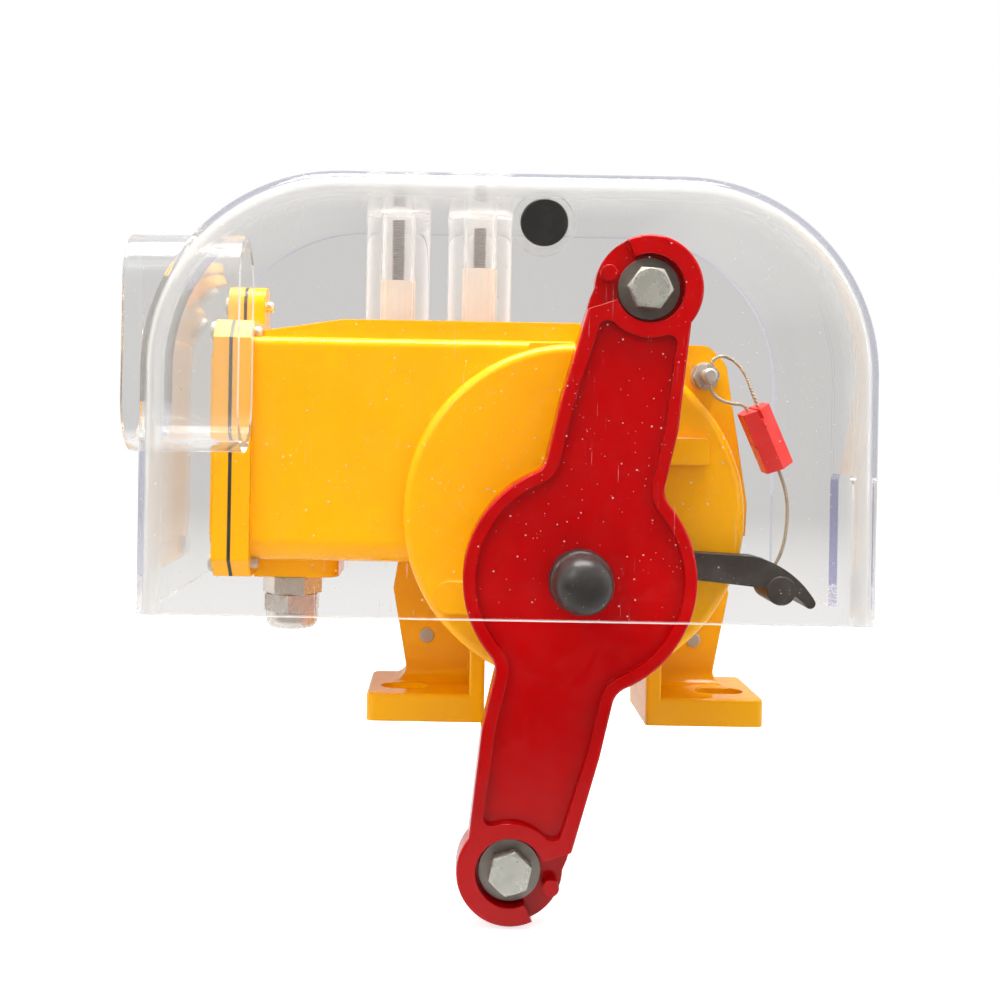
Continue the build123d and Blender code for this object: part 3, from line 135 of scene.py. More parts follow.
class Socket:
    """An output socket on which numbers can be worked out with plain operators."""

    def __init__(self, graph: Graph, source: bpy.types.NodeSocket) -> None:
        """Wraps one socket.

        Args:
            graph: The graph that owns the socket's node.
            source: The output socket.
        """
        self.graph = graph
        self.source = source

    def _math(self, operation: str, first: Any, second: Any = 0.0) -> Socket:
        """One Math node on two values or sockets."""
        return self.graph.node("ShaderNodeMath", {"operation": operation}, {0: first, 1: second})

    def __add__(self, other: Any) -> Socket:
        """self + other"""
        return self._math("ADD", self, other)

    def __radd__(self, other: Any) -> Socket:
        """other + self"""
        return self._math("ADD", other, self)

    def __sub__(self, other: Any) -> Socket:
        """self - other"""
        return self._math("SUBTRACT", self, other)

    def __rsub__(self, other: Any) -> Socket:
        """other - self"""
        return self._math("SUBTRACT", other, self)

    def __mul__(self, other: Any) -> Socket:
        """self * other"""
        return self._math("MULTIPLY", self, other)

    def __rmul__(self, other: Any) -> Socket:
        """other * self"""
        return self._math("MULTIPLY", other, self)

    def __truediv__(self, other: Any) -> Socket:
        """self / other"""
        return self._math("DIVIDE", self, other)

    def __rtruediv__(self, other: Any) -> Socket:
        """other / self"""
        return self._math("DIVIDE", other, self)

    def __pow__(self, other: Any) -> Socket:
        """self to the power of other"""
        return self._math("POWER", self, other)

    def over(self, limit: float) -> Socket:
        """1 where the value is over the limit, else 0."""
        return self._math("GREATER_THAN", self, limit)

    def larger(self, other: Any) -> Socket:
        """The larger of two values."""
        return self._math("MAXIMUM", self, other)

    def sine(self) -> Socket:
        """The sine of the value."""
        return self._math("SINE", self)

    def size(self) -> Socket:
        """The value without its sign."""
        return self._math("ABSOLUTE", self)

    def between(self, low: float, high: float, start: float = 0.0, end: float = 1.0) -> Socket:
        """Runs smoothly from start to end while the value goes from low to high.

        Args:
            low: Where the change begins.
            high: Where it ends.
            start: The result at and below low.
            end: The result at and above high.

        Returns:
            The result's socket.
        """
        settings = {"interpolation_type": "SMOOTHSTEP"}
        values = {"Value": self, "From Min": low, "From Max": high, "To Min": start, "To Max": end}
        return self.graph.node("ShaderNodeMapRange", settings, values)


class Graph:
    """The node tree of one material."""

    def __init__(self, name: str) -> None:
        """Starts an empty material.

        Args:
            name: The material's name.
        """
        self.material = bpy.data.materials.new(name)
        self.material.use_nodes = True
        self.tree = self.material.node_tree
        self.tree.nodes.clear()

    def node(
        self,
        kind: str,
        settings: dict[str, Any] | None = None,
        sockets: dict[str | int, Any] | None = None,
        output: str | int | None = 0,
    ) -> Socket:
        """Adds any node.

        Args:
            kind: The node's type.
            settings: Its own settings, set before its sockets.
            sockets: Values or links for its inputs, by name or number.
            output: The output that is handed back, or None for a node without one.

        Returns:
            That output.
        """
        made = self.tree.nodes.new(kind)
        for key, value in (settings or {}).items():
            setattr(made, key, value)
        for key, value in (sockets or {}).items():
            if isinstance(value, Socket):
                self.tree.links.new(value.source, made.inputs[key])
            else:
                made.inputs[key].default_value = value
        return Socket(self, None if output is None else made.outputs[output])

    @classmethod
    def of_tree(cls, tree: bpy.types.NodeTree) -> Graph:
        """A graph that works on a tree that exists already, such as the sky's."""
        graph = cls.__new__(cls)
        graph.tree = tree
        return graph

    def place(self, stretch: Point = UNSCALED, turn: Point = UNTURNED) -> Socket:
        """Object coordinates, stretched and turned.

        Args:
            stretch: Scale along each axis.
            turn: Angles about each axis, in radians.

        Returns:
            The coordinates.
        """
        plain = self.node("ShaderNodeTexCoord", output="Object")
        if stretch == UNSCALED and turn == UNTURNED:
            return plain
        return self.node("ShaderNodeMapping", None, {"Vector": plain, "Scale": stretch, "Rotation": turn})

    def along(self, place: Socket, axis: str) -> Socket:
        """One coordinate, "X", "Y" or "Z", of a place."""
        return self.node("ShaderNodeSeparateXYZ", None, {"Vector": place}, axis)

    def ray(self, kind: str) -> Socket:
        """One output of the Light Path node."""
        return self.node("ShaderNodeLightPath", output=kind)

    def mirrored(self) -> Socket:
        """1 on a ray that has been mirrored at least once, else 0."""
        return self.ray("Glossy Depth").over(0.5)

    def mix(self, share: Any, first: Socket, second: Socket) -> Socket:
        """Two shaders mixed, the first one where the share is 0."""
        return self.node("ShaderNodeMixShader", None, {0: share, 1: first, 2: second})

    def noise(self, place: Socket, scale: float, detail: float = 3.0, rough: float = 0.5) -> Socket:
        """Soft noise from 0 to 1.

        Args:
            place: The coordinates.
            scale: Blobs per metre.
            detail: Number of finer layers.
            rough: How strong the finer layers are.

        Returns:
            The noise value.
        """
        values = {"Vector": place, "Scale": scale, "Detail": detail, "Roughness": rough}
        return self.node("ShaderNodeTexNoise", None, values, "Fac")

    def specks(self, place: Socket, scale: float, radius: float, share: float) -> Socket:
        """Small round specks, 1 on a speck and 0 beside it.

        Args:
            place: The coordinates.
            scale: Cells per metre.
            radius: A speck's radius, in cells.
            share: The share of the cells that hold a speck.

        Returns:
            The mask.
        """
        cells = {"Vector": place, "Scale": scale}
        distance = self.node("ShaderNodeTexVoronoi", None, cells, "Distance")
        tint = self.node("ShaderNodeTexVoronoi", None, cells, "Color")
        chance = self.node("ShaderNodeSeparateColor", None, {"Color": tint}, "Red")
        return distance.between(radius * 0.6, radius, 1.0, 0.0) * chance.over(1.0 - share)

    def blend(self, first: Any, second: Any, share: Any) -> Socket:
        """A colour between two colours.

        Args:
            first: The colour at a share of 0.
            second: The colour at a share of 1.
            share: The share, a number or a socket.

        Returns:
            The mixed colour.
        """
        made = self.tree.nodes.new("ShaderNodeMix")
        made.data_type = "RGBA"
        for key, value in ((0, share), (6, first), (7, second)):
            if isinstance(value, Socket):
                self.tree.links.new(value.source, made.inputs[key])
            else:
                made.inputs[key].default_value = value
        return Socket(self, made.outputs[2])

    def relief(
        self,
        height: Socket,
        depth: float,
        strength: float = 1.0,
        normal: Socket | None = None,
    ) -> Socket:
        """A bumped normal.

        Args:
            height: The relief from 0 to 1.
            depth: What a height of 1 measures, in metres.
            strength: The share of the relief that shows.
            normal: A normal to start from.

        Returns:
            The normal.
        """
        values: dict[str | int, Any] = {"Height": height, "Distance": depth, "Strength": strength}
        if normal is not None:
            values["Normal"] = normal
        return self.node("ShaderNodeBump", None, values)

    def rounded(self, radius: float) -> Socket:
        """A normal that rounds sharp edges.

        Args:
            radius: The edge's radius, in metres.

        Returns:
            The normal.
        """
        return self.node("ShaderNodeBevel", {"samples": 4}, {"Radius": radius})

    def principled(self, **values: Any) -> Socket:
        """A Principled shader. Underscores in the names stand for blanks."""
        sockets = {name.replace("_", " "): value for name, value in values.items()}
        return self.node("ShaderNodeBsdfPrincipled", None, sockets)

    def finish(self, shader: Socket) -> bpy.types.Material:
        """Leads the shader to the output and hands back the material."""
        self.node("ShaderNodeOutputMaterial", None, {"Surface": shader}, None)
        return self.material


@dataclass(frozen=True)
class CastPaint:
    """Thick gloss paint over a sand casting: soft orange peel, fine pits and a little dust.

    Attributes:
        name: The material's name.
        colour: The paint's colour.
        deep: Its colour in broad, soft drifts.
        light: Its colour in small patches and under dust.
        peel_depth: Depth of the orange peel, in metres.
        peel_scale: Bumps of the orange peel per metre.
        lump_depth: Height of the casting's own unevenness, in metres.
        roughness: The gloss's roughness.
        edge: Radius to which sharp edges are rounded, in metres.
        drift_share: How much of the deep colour shows.
        patch_share: How much of the light colour shows.
        pit_share: The share of places with a pit.
        shine: The reflection's strength.
        coat: The clear coat's weight.
    """

    name: str
    colour: Colour
    deep: Colour
    light: Colour
    peel_depth: float = 0.00006
    peel_scale: float = 300.0
    lump_depth: float = 0.00018
    roughness: float = 0.20
    edge: float = 0.0010
    drift_share: float = 0.22
    patch_share: float = 0.10
    pit_share: float = 0.05
    shine: float = 0.35
    coat: float = 0.16

    def make(self) -> bpy.types.Material:
        """Builds the material."""
        graph = Graph(self.name)
        place = graph.place()
        drift = graph.noise(place, 22.0, 3.0, 0.55)
        patches = graph.noise(place, 90.0, 4.0, 0.6)
        colour = graph.blend(self.colour, self.deep, drift.between(0.46, 0.70, 0.0, self.drift_share))
        colour = graph.blend(colour, self.light, patches.between(0.50, 0.74, 0.0, self.patch_share))
        dust = graph.specks(place, 260.0, 0.12, 0.06)
        colour = graph.blend(colour, self.light, dust * 0.5)
        peel = graph.noise(place, self.peel_scale, 2.0, 0.45)
        lumps = graph.noise(place, 46.0, 2.0, 0.5)
        pits = graph.specks(place, 310.0, 0.22, self.pit_share)
        normal = graph.rounded(self.edge)
        normal = graph.relief(lumps, self.lump_depth, 0.5, normal)
        normal = graph.relief(peel - pits * 0.8, self.peel_depth, 0.75, normal)
        rub = graph.noise(place, 130.0, 3.0)
        shader = graph.principled(
            Base_Color=colour,
            Roughness=rub.between(0.35, 0.7, self.roughness - 0.04, self.roughness + 0.06),
            Specular_IOR_Level=self.shine,
            Coat_Weight=self.coat,
            Coat_Roughness=0.06,
            Normal=normal,
        )
        return graph.finish(shader)


@dataclass(frozen=True)
class ClearSheet:
    """Clear acrylic that lets the lamps through, with dust, hairline scratches, sawn edges and a painted
    highlight along its bends.

    Places are in metres, in the frame's axes.

    Attributes:
        name: The material's name.
        tint: The plastic's colour.
        lamp_tint: The colour of lamp light that has passed it.
        haze: The white share of a surface that was turned or cut, and not polished.
        index: The index of refraction.
        dust_share: The share of places with a speck of dust.
        dust_layers: Cells per metre, radius in cells and share for each size of speck.
        dust_cover: How dense a speck is.
        scratch_depth: Depth of the broad scratches, in metres.
        hair_share: How white the hairline scratches are.
        roughness: The least roughness.
        shade_tint: The plastic's colour in soft, upright bands.
        edge_tint: The colour of the sawn edges.
        back_edge: Y of the hood's sawn back edge.
        notch_edge: Y of the notch's upright edge.
        notch_width: Half the width of the coloured line there, and of its fade.
        notch_side: X beyond which the notch lies.
        lower_rim: Z of the hood's lower edge.
        rim_height: Height of the white line along it.
        rim_haze: How white that line is.
        plug_axis: X and Z of the round plug.
        plug_ring: Inside and outside radius of the hazy ring about it.
        plug_depth: Y behind which the ring ends.
        ring_haze: How white the ring is.
        sides: X of the hood's left and right side.
        top: Z of its top.
        corner: Radius of its two upper corners.
        bend_reach: Where the painted highlight along the bend begins and is full, measured from the hood's
            outline.
        bend_depth: Y where that painted highlight is full and where it ends.
        bend_highlight: How white the painted highlight along the bend is.
        skin_reach: Where the outermost skin becomes clear again, measured in the same way.
        skin_share: The share of the painted highlight that is left in the skin.
    """

    name: str
    tint: Colour
    lamp_tint: Colour
    haze: float = 0.0
    index: float = 1.34
    dust_share: float = 0.11
    dust_layers: tuple[tuple[float, float, float], ...] = (
        (330.0, 0.13, 1.0),
        (120.0, 0.05, 1.6),
        (700.0, 0.13, 1.0),
    )
    dust_cover: float = 0.6
    scratch_depth: float = 0.00004
    hair_share: float = 0.30
    roughness: float = 0.0
    shade_tint: Colour = (0.966, 0.955, 0.948, 1.0)
    edge_tint: Colour = (0.52, 0.52, 0.72, 1.0)
    back_edge: float = 0.0527
    notch_edge: float = -0.0502
    notch_width: Pair = (0.0002, 0.0004)
    notch_side: float = 0.104
    lower_rim: float = 0.0600
    rim_height: float = 0.0007
    rim_haze: float = 0.45
    plug_axis: Pair = (-0.0194, 0.2133)
    plug_ring: Pair = (0.0090, 0.0126)
    plug_depth: float = -0.098
    ring_haze: float = 0.18
    sides: Pair = (-0.175, 0.112)
    top: float = 0.233
    corner: float = 0.077
    bend_reach: Pair = (-0.017, -0.006)
    bend_depth: Pair = (-0.1035, -0.0960)
    bend_highlight: float = 0.40
    skin_reach: Pair = (-0.0045, -0.0015)
    skin_share: float = 0.15

    def make(self) -> bpy.types.Material:
        """Builds the material."""
        graph = Graph(self.name)
        place = graph.place()
        across, depth, height = (graph.along(place, axis) for axis in "XYZ")
        rub = graph.noise(place, 14.0, 4.0, 0.6)
        veil = graph.noise(graph.place((1.0, 1.0, 0.2)), 22.0, 2.0, 0.5).between(0.45, 0.7)
        tint = graph.blend(self.tint, self.shade_tint, veil)
        normal = self._normal(graph, place)
        glass = graph.principled(
            Base_Color=graph.blend(tint, self.edge_tint, self._sawn(across, depth)),
            Roughness=rub.between(0.5, 0.8, self.roughness, self.roughness + 0.03),
            IOR=self.index,
            Transmission_Weight=1.0,
            Normal=normal,
        )
        open_for_lamps = graph.node("ShaderNodeBsdfTransparent", None, {"Color": self.lamp_tint})
        clear = graph.mix(graph.ray("Is Shadow Ray"), glass, open_for_lamps)
        # White diffuse plastic for the dust, scratches, ring and lower rim, and for the painted highlight
        # along the bends.
        dust_and_highlight_white = graph.principled(Base_Color=srgb(238, 238, 236), Roughness=0.8, Normal=normal)
        dust_and_highlight_cover = self._dust(graph, place) * self.dust_cover
        dust_and_highlight_cover = dust_and_highlight_cover.larger(self._hairlines(graph, place))
        # Painted highlight: a white band along the hood's bends into its sides and top.
        dust_and_highlight_cover = dust_and_highlight_cover.larger(self._painted_bend_highlight(across, depth, height))
        dust_and_highlight_cover = dust_and_highlight_cover.larger(self._ring(across, depth, height))
        rim_top = self.lower_rim + self.rim_height
        dust_and_highlight_cover = dust_and_highlight_cover.larger(height.between(self.lower_rim, rim_top, self.rim_haze, 0.0))
        return graph.finish(graph.mix(dust_and_highlight_cover.larger(self.haze), clear, dust_and_highlight_white))

    def _normal(self, graph: Graph, place: Socket) -> Socket:
        """The sheet's faint waves and broad scratches."""
        streaks = graph.noise(graph.place((1.0, 1.0, 0.06), (0.0, 0.35, 0.0)), 900.0, 2.0, 0.5)
        patch = graph.noise(place, 16.0, 2.0, 0.5).between(0.55, 0.7)
        waves = graph.noise(place, 9.0, 1.0, 0.4)
        normal = graph.relief(waves, 0.0006, 0.5)
        return graph.relief(streaks.between(0.70, 0.74) * patch, self.scratch_depth, 0.6, normal)

    def _hairlines(self, graph: Graph, place: Socket) -> Socket:
        """Where fine, upright scratches whiten the sheet."""
        hair = graph.noise(graph.place((1.0, 1.0, 0.012), (0.0, 0.03, 0.0)), 3000.0, 2.0, 0.5)
        patch = graph.noise(place, 24.0, 2.0, 0.5).between(0.5, 0.6)
        return hair.between(0.71, 0.75) * patch * self.hair_share

    def _dust(self, graph: Graph, place: Socket) -> Socket:
        """Where specks of dust lie."""
        layers = [
            graph.specks(place, scale, radius, self.dust_share * share)
            for scale, radius, share in self.dust_layers
        ]
        dust = layers[0]
        for layer in layers[1:]:
            dust = dust.larger(layer)
        return dust

    def _sawn(self, across: Socket, depth: Socket) -> Socket:
        """Where the sheet shows a sawn edge: along its back and along the notch."""
        notch = (depth - self.notch_edge).size().between(*self.notch_width, 1.0, 0.0)
        return (notch * across.over(self.notch_side)).larger(depth.over(self.back_edge))

    def _ring(self, across: Socket, depth: Socket, height: Socket) -> Socket:
        """The hazy ring about the round plug."""
        reach = ((across - self.plug_axis[0]) ** 2.0 + (height - self.plug_axis[1]) ** 2.0) ** 0.5
        low, high = self.plug_ring
        return reach.over(low) * (1 - reach.over(high)) * (1 - depth.over(self.plug_depth)) * self.ring_haze

    def _painted_bend_highlight(self, across: Socket, depth: Socket, height: Socket) -> Socket:
        """A painted highlight: the soft, pale band where the hood's front bends into its sides and top."""
        half = (self.sides[1] - self.sides[0]) / 2
        middle = (self.sides[1] + self.sides[0]) / 2
        beside = ((across - middle).size() - (half - self.corner)).larger(0.0)
        above = (height - (self.top - self.corner)).larger(0.0)
        inset = (beside ** 2.0 + above ** 2.0) ** 0.5 - self.corner
        band = inset.between(*self.bend_reach, 0.0, self.bend_highlight)
        band = band * depth.between(*self.bend_depth, 1.0, 0.0)
        return band * inset.between(*self.skin_reach, 1.0, self.skin_share)


@dataclass(frozen=True)
class MouldedPlastic:
    """Moulded or rubber-like plastic with a fine grain."""

    name: str
    colour: Colour
    worn: Colour
    roughness: float = 0.4
    grain_scale: float = 1400.0
    grain_depth: float = 0.00003
    coat: float = 0.0
    edge: float = 0.0003

    def make(self) -> bpy.types.Material:
        """Builds the material."""
        graph = Graph(self.name)
        place = graph.place()
        drift = graph.noise(place, 60.0, 4.0, 0.6)
        grain = graph.noise(place, self.grain_scale, 2.0, 0.6)
        colour = graph.blend(self.colour, self.worn, drift.between(0.45, 0.8, 0.0, 0.6))
        dust = graph.specks(place, 520.0, 0.12, 0.10)
        colour = graph.blend(colour, self.worn, dust)
        normal = graph.relief(grain, self.grain_depth, 0.6, graph.rounded(self.edge))
        roughness = drift.between(0.3, 0.8, self.roughness - 0.06, self.roughness + 0.12)
        shader = graph.principled(
            Base_Color=colour,
            Roughness=roughness,
            Coat_Weight=self.coat,
            Coat_Roughness=0.12,
            Normal=normal,
        )
        return graph.finish(shader)


@dataclass(frozen=True)
class TurnedMetal:
    """Plated or bare metal with fine tool marks, stains and dull patches."""

    name: str
    colour: Colour
    stain: Colour
    roughness: float = 0.25
    mark_scale: float = 2600.0
    mark_depth: float = 0.00002
    stain_share: float = 0.5
    metallic: float = 1.0
    edge: float = 0.0003

    def make(self) -> bpy.types.Material:
        """Builds the material."""
        graph = Graph(self.name)
        place = graph.place()
        cloud = graph.noise(place, 120.0, 5.0, 0.62)
        marks = graph.noise(graph.place((1.0, 0.12, 1.0)), self.mark_scale, 2.0, 0.5)
        colour = graph.blend(self.colour, self.stain, cloud.between(0.46, 0.75, 0.0, self.stain_share))
        roughness = cloud.between(0.35, 0.75, self.roughness - 0.06, self.roughness + 0.16)
        normal = graph.relief(marks, self.mark_depth, 0.5, graph.rounded(self.edge))
        shader = graph.principled(
            Base_Color=colour,
            Roughness=roughness,
            Metallic=self.metallic,
            Normal=normal,
        )
        return graph.finish(shader)


@dataclass(frozen=True)
class TwistedWire:
    """Two thin strands twisted together, in a pale plastic jacket, read along the wire, with painted shade in
    the grooves between them.
    """

    name: str
    colour: Colour
    groove_shade_and_stain: Colour
    turns_per_length: float = 60.0

    def make(self) -> bpy.types.Material:
        """Builds the material."""
        graph = Graph(self.name)
        where = graph.node("ShaderNodeTexCoord", output="UV")
        along = graph.along(where, "X")
        around = graph.along(where, "Y")
        phase = along * (2 * math.pi * self.turns_per_length) + around * (4 * math.pi)
        ridge = phase.sine().between(-1.0, 1.0)
        stain = graph.noise(graph.place(), 300.0, 3.0)
        # Painted shade: the grooves between the strands take the darker colour; noise stains also blend
        # towards that colour.
        colour = graph.blend(self.groove_shade_and_stain, self.colour, ridge)
        colour = graph.blend(colour, self.groove_shade_and_stain, stain.between(0.5, 0.8, 0.0, 0.5))
        shader = graph.principled(
            Base_Color=colour,
            Roughness=stain.between(0.2, 0.8, 0.3, 0.5),
            Normal=graph.relief(ridge, 0.00025, 0.8),
        )
        return graph.finish(shader)


@dataclass(frozen=True)
class WhiteSweep:
    """A floor that reads as white and still shows the object's soft shadow.

    Attributes:
        name: The material's name.
        paper: The paper's colour.
        glow: What the camera sees on top of the paper's own light.
        seen_through: The level seen through clear plastic, far behind the object.
        front_reach: Y where the floor in front begins to be light in mirrors, and where it is.
        front_level: The level of the floor in front, in mirrors.
        near_reach: Y where the near level ends and where the far one is reached.
        near_level: The level seen through clear plastic, just behind the object.
    """

    name: str
    paper: Colour
    glow: float
    seen_through: float
    front_reach: Pair = (-0.45, 0.05)
    front_level: float = 0.06
    near_reach: Pair = (0.7, 2.4)
    near_level: float = 0.90

    def make(self) -> bpy.types.Material:
        """Builds the material."""
        graph = Graph(self.name)
        place = graph.place()
        fibres = graph.noise(place, 60.0, 4.0, 0.6)
        tone = graph.blend(self.paper, srgb(236, 236, 236), fibres.between(0.4, 0.7, 0.0, 0.2))
        paper = graph.principled(Base_Color=tone, Roughness=0.9, Specular_IOR_Level=0.1)
        glow = graph.node("ShaderNodeEmission", None, {"Color": WHITE, "Strength": self.glow})
        lit = graph.node("ShaderNodeAddShader", None, {0: paper, 1: glow})
        depth = graph.along(place, "Y")
        near = depth.between(*self.near_reach, self.near_level, self.seen_through)
        front = depth.between(*self.front_reach, self.front_level, 1.0)
        bounced = graph.mirrored()
        level = (bounced * front + (1 - bounced)) * near
        tone_seen = graph.blend(BLACK, WHITE, level)
        even = graph.node("ShaderNodeEmission", None, {"Color": tone_seen, "Strength": 1.0})
        sharp_ray = graph.ray("Is Glossy Ray").larger(graph.ray("Is Transmission Ray"))
        shader = graph.mix(graph.ray("Is Camera Ray"), paper, lit)
        return graph.finish(graph.mix(sharp_ray, shader, even))


@dataclass(frozen=True)
class Viewpoint:
    """The photograph's camera: level, square to the object and rolled by one degree.

    Attributes:
        place: Where the camera stands.
        focal_share: Focal length over the image's width.
        axis_pixel: The pixel that the camera's axis meets, in a frame of 1000 by 1000.
        roll: The camera's turn about its axis, in degrees.
        frame: The width of the frame in which that pixel is counted.
        clip: The nearest and farthest distance that it sees, in metres.
    """

    place: Point = (-0.0543, -0.607, 0.1388)
    focal_share: float = 1.303
    axis_pixel: Pair = (450.0, 415.0)
    roll: float = 1.0
    frame: float = 1000.0
    clip: Pair = (0.01, 20.0)

    def build(self) -> bpy.types.Object:
        """Makes the camera and hands it back."""
        data = bpy.data.cameras.new("photo_camera")
        data.lens = self.focal_share * data.sensor_width
        data.shift_x = 0.5 - self.axis_pixel[0] / self.frame
        data.shift_y = self.axis_pixel[1] / self.frame - 0.5
        data.clip_start, data.clip_end = self.clip
        camera = bpy.data.objects.new("photo_camera", data)
        bpy.context.collection.objects.link(camera)
        level = Matrix.Rotation(math.radians(90), 4, "X")
        rolled = Matrix.Rotation(math.radians(self.roll), 4, "Z")
        camera.matrix_world = Matrix.Translation(self.place) @ level @ rolled
        bpy.context.scene.camera = camera
        return camera


@dataclass(frozen=True)
class SoftBox:
    """One large soft lamp that looks at the middle of the object."""

    name: str
    place: Point
    size: Pair
    power: float
    target: Point = (-0.02, 0.0, 0.08)

    def build(self) -> bpy.types.Object:
        """Makes the lamp and hands it back."""
        data = bpy.data.lights.new(self.name, "AREA")
        data.shape = "RECTANGLE"
        data.size, data.size_y = self.size
        data.energy = self.power
        lamp = bpy.data.objects.new(self.name, data)
        bpy.context.collection.objects.link(lamp)
        aim = Vector(self.target) - Vector(self.place)
        lamp.matrix_world = Matrix.Translation(self.place) @ aim.to_track_quat("-Z", "Y").to_matrix().to_4x4()
        return lamp


@dataclass
class Studio:
    """The plain white studio: floor, even sky and three soft lamps.

    Attributes:
        floor_level: Z of the floor, just under the lever's lower eye.
        floor_size: The floor's width, in metres.
        floor_glow: How much brighter than its paper the camera sees the floor.
        sky_seen: The sky's level where the camera sees it.
        sky_for_object: The sky's level where it lights the object from behind and above.
        sky_through_glass: The sky's level behind clear plastic, and in mirrors.
        side_lift: What the sky gains at the sides there, which lightens the plastic's bent edges.
        side_reach: The X of a direction where that gain begins and is full.
        room: The sky's level in front, where the viewer's room would be.
        room_reach: The Y of a direction where the room ends and the sky is full.
        room_mirrored: The share of the sky that is left in front, in mirrors.
        room_mirrored_reach: The Y of a direction where the mirrored room ends and the sky is full.
        lamps: The soft lamps.
    """

    floor_level: float = -0.0712
    floor_size: float = 6.0
    floor_glow: float = 0.72
    sky_seen: float = 1.0
    sky_for_object: float = 0.54
    sky_through_glass: float = 0.64
    side_lift: float = 0.45
    side_reach: Pair = (0.40, 0.80)
    room: float = 0.14
    room_reach: Pair = (-0.75, 0.0)
    room_mirrored: float = 0.10
    room_mirrored_reach: Pair = (-0.45, 0.0)
    lamps: tuple[SoftBox, ...] = (
        SoftBox("key_left", (-0.75, -0.95, 0.95), (0.7, 0.7), 4.6),
        SoftBox("fill_right", (0.95, -0.75, 0.45), (0.6, 0.9), 1.8),
        SoftBox("top", (-0.05, -0.10, 1.15), (0.9, 0.5), 18.0),
    )

    def build(self) -> None:
        """Makes the sky, the floor and the lamps."""
        self._sky()
        self._floor()
        for lamp in self.lamps:
            lamp.build()

    def _sky(self) -> None:
        """A white sky where it is seen, and a greyer one, dark in front, in mirrors and as light."""
        world = bpy.data.worlds.new("studio_sky")
        bpy.context.scene.world = world
        world.use_nodes = True
        tree = world.node_tree
        tree.nodes.clear()
        graph = Graph.of_tree(tree)
        towards = graph.node("ShaderNodeTexCoord", output="Generated")
        across = graph.along(towards, "X")
        depth = graph.along(towards, "Y")
        lighting = depth.between(*self.room_reach, self.room, self.sky_for_object)
        through = across.size().between(*self.side_reach, 0.0, self.side_lift) + self.sky_through_glass
        front = depth.between(*self.room_mirrored_reach, self.room_mirrored, 1.0)
        bounced = graph.mirrored()
        seen = through * (bounced * front + (1 - bounced))
        sharp_ray = graph.ray("Is Glossy Ray").larger(graph.ray("Is Transmission Ray"))
        camera_ray = graph.ray("Is Camera Ray")
        level = sharp_ray * seen + (1 - sharp_ray) * lighting
        level = camera_ray * self.sky_seen + (1 - camera_ray) * level
        sky = graph.node("ShaderNodeBackground", None, {"Color": WHITE, "Strength": level})
        graph.node("ShaderNodeOutputWorld", None, {"Surface": sky}, None)

    def _floor(self) -> None:
        """The paper floor under the lever's lower eye."""
        mesh = bpy.data.meshes.new("studio_floor")
        shape = bmesh.new()
        bmesh.ops.create_grid(shape, x_segments=4, y_segments=4, size=self.floor_size / 2)
        bmesh.ops.translate(shape, verts=shape.verts, vec=(0.0, 0.0, self.floor_level))
        shape.to_mesh(mesh)
        shape.free()
        floor = bpy.data.objects.new("studio_floor", mesh)
        bpy.context.collection.objects.link(floor)
        sweep = WhiteSweep("white_sweep", srgb(232, 232, 232), self.floor_glow, self.sky_through_glass)
        mesh.materials.append(sweep.make())


@dataclass
class SealWire:
    """The thin wire that seals the reset handle: a tail and a loop, in millimetres.

    Attributes:
        diameter: The wire's diameter.
        tail: Control points from the handle up to the seal.
        loop: Control points from the seal through the stud and back.
        tail_length: The tail's length; not used.
        loop_length: The loop's length; not used.
    """

    diameter: float = 1.5
    tail: tuple[Point, ...] = (
        (86.3, -46.6, 77.05),
        (89.55, -46.6, 82.68),
        (91.2, -46.5, 94.5),
        (91.4, -46.5, 104.0),
        (89.28, -46.63, 112.74),
        (86.3, -47.6, 119.0),
    )
    loop: tuple[Point, ...] = (
        (76.75, -51.19, 144.65),
        (73.98, -52.09, 150.47),
        (72.0, -51.0, 157.4),
        (67.6, -49.2, 163.8),
        (61.6, -48.9, 166.6),
        (56.2, -50.0, 163.6),
        (56.2, -50.0, 151.8),
        (59.6, -51.4, 147.6),
        (64.8, -53.0, 145.6),
        (71.01, -52.08, 145.59),
        (72.45, -51.61, 142.55),
    )
    tail_length: float = 43.8
    loop_length: float = 65.5

    def build(self, material: bpy.types.Material) -> list[bpy.types.Object]:
        """Makes both runs of the wire.

        Args:
            material: The wire's finish.

        Returns:
            The two curves.
        """
        runs = []
        for name, points, length in (
            ("seal_wire_tail", self.tail, self.tail_length),
            ("seal_wire_loop", self.loop, self.loop_length),
        ):
            run = self._curve(name, points)
            run.data.materials.append(material)
            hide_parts("seal_wire")
            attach(run, "housing")
            runs.append(run)
        return runs

    def _curve(self, name: str, points: Iterable[Point]) -> bpy.types.Object:
        """One open NURBS curve with a round section.

        Args:
            name: The object's name.
            points: Its control points, in millimetres.

        Returns:
            The curve object.
        """
        data = bpy.data.curves.new(name, "CURVE")
        data.dimensions = "3D"
        data.resolution_u = 12
        data.bevel_depth = self.diameter * MILLIMETRE / 2
        data.bevel_resolution = 4
        data.use_fill_caps = True
        spline = data.splines.new("NURBS")
        placed = [scaled(point) for point in points]
        spline.points.add(len(placed) - 1)
        for control, point in zip(spline.points, placed):
            control.co = (*point, 1.0)
        spline.order_u = 3
        spline.use_endpoint_u = True
        curve = bpy.data.objects.new(name, data)
        bpy.context.collection.objects.link(curve)
        return curve


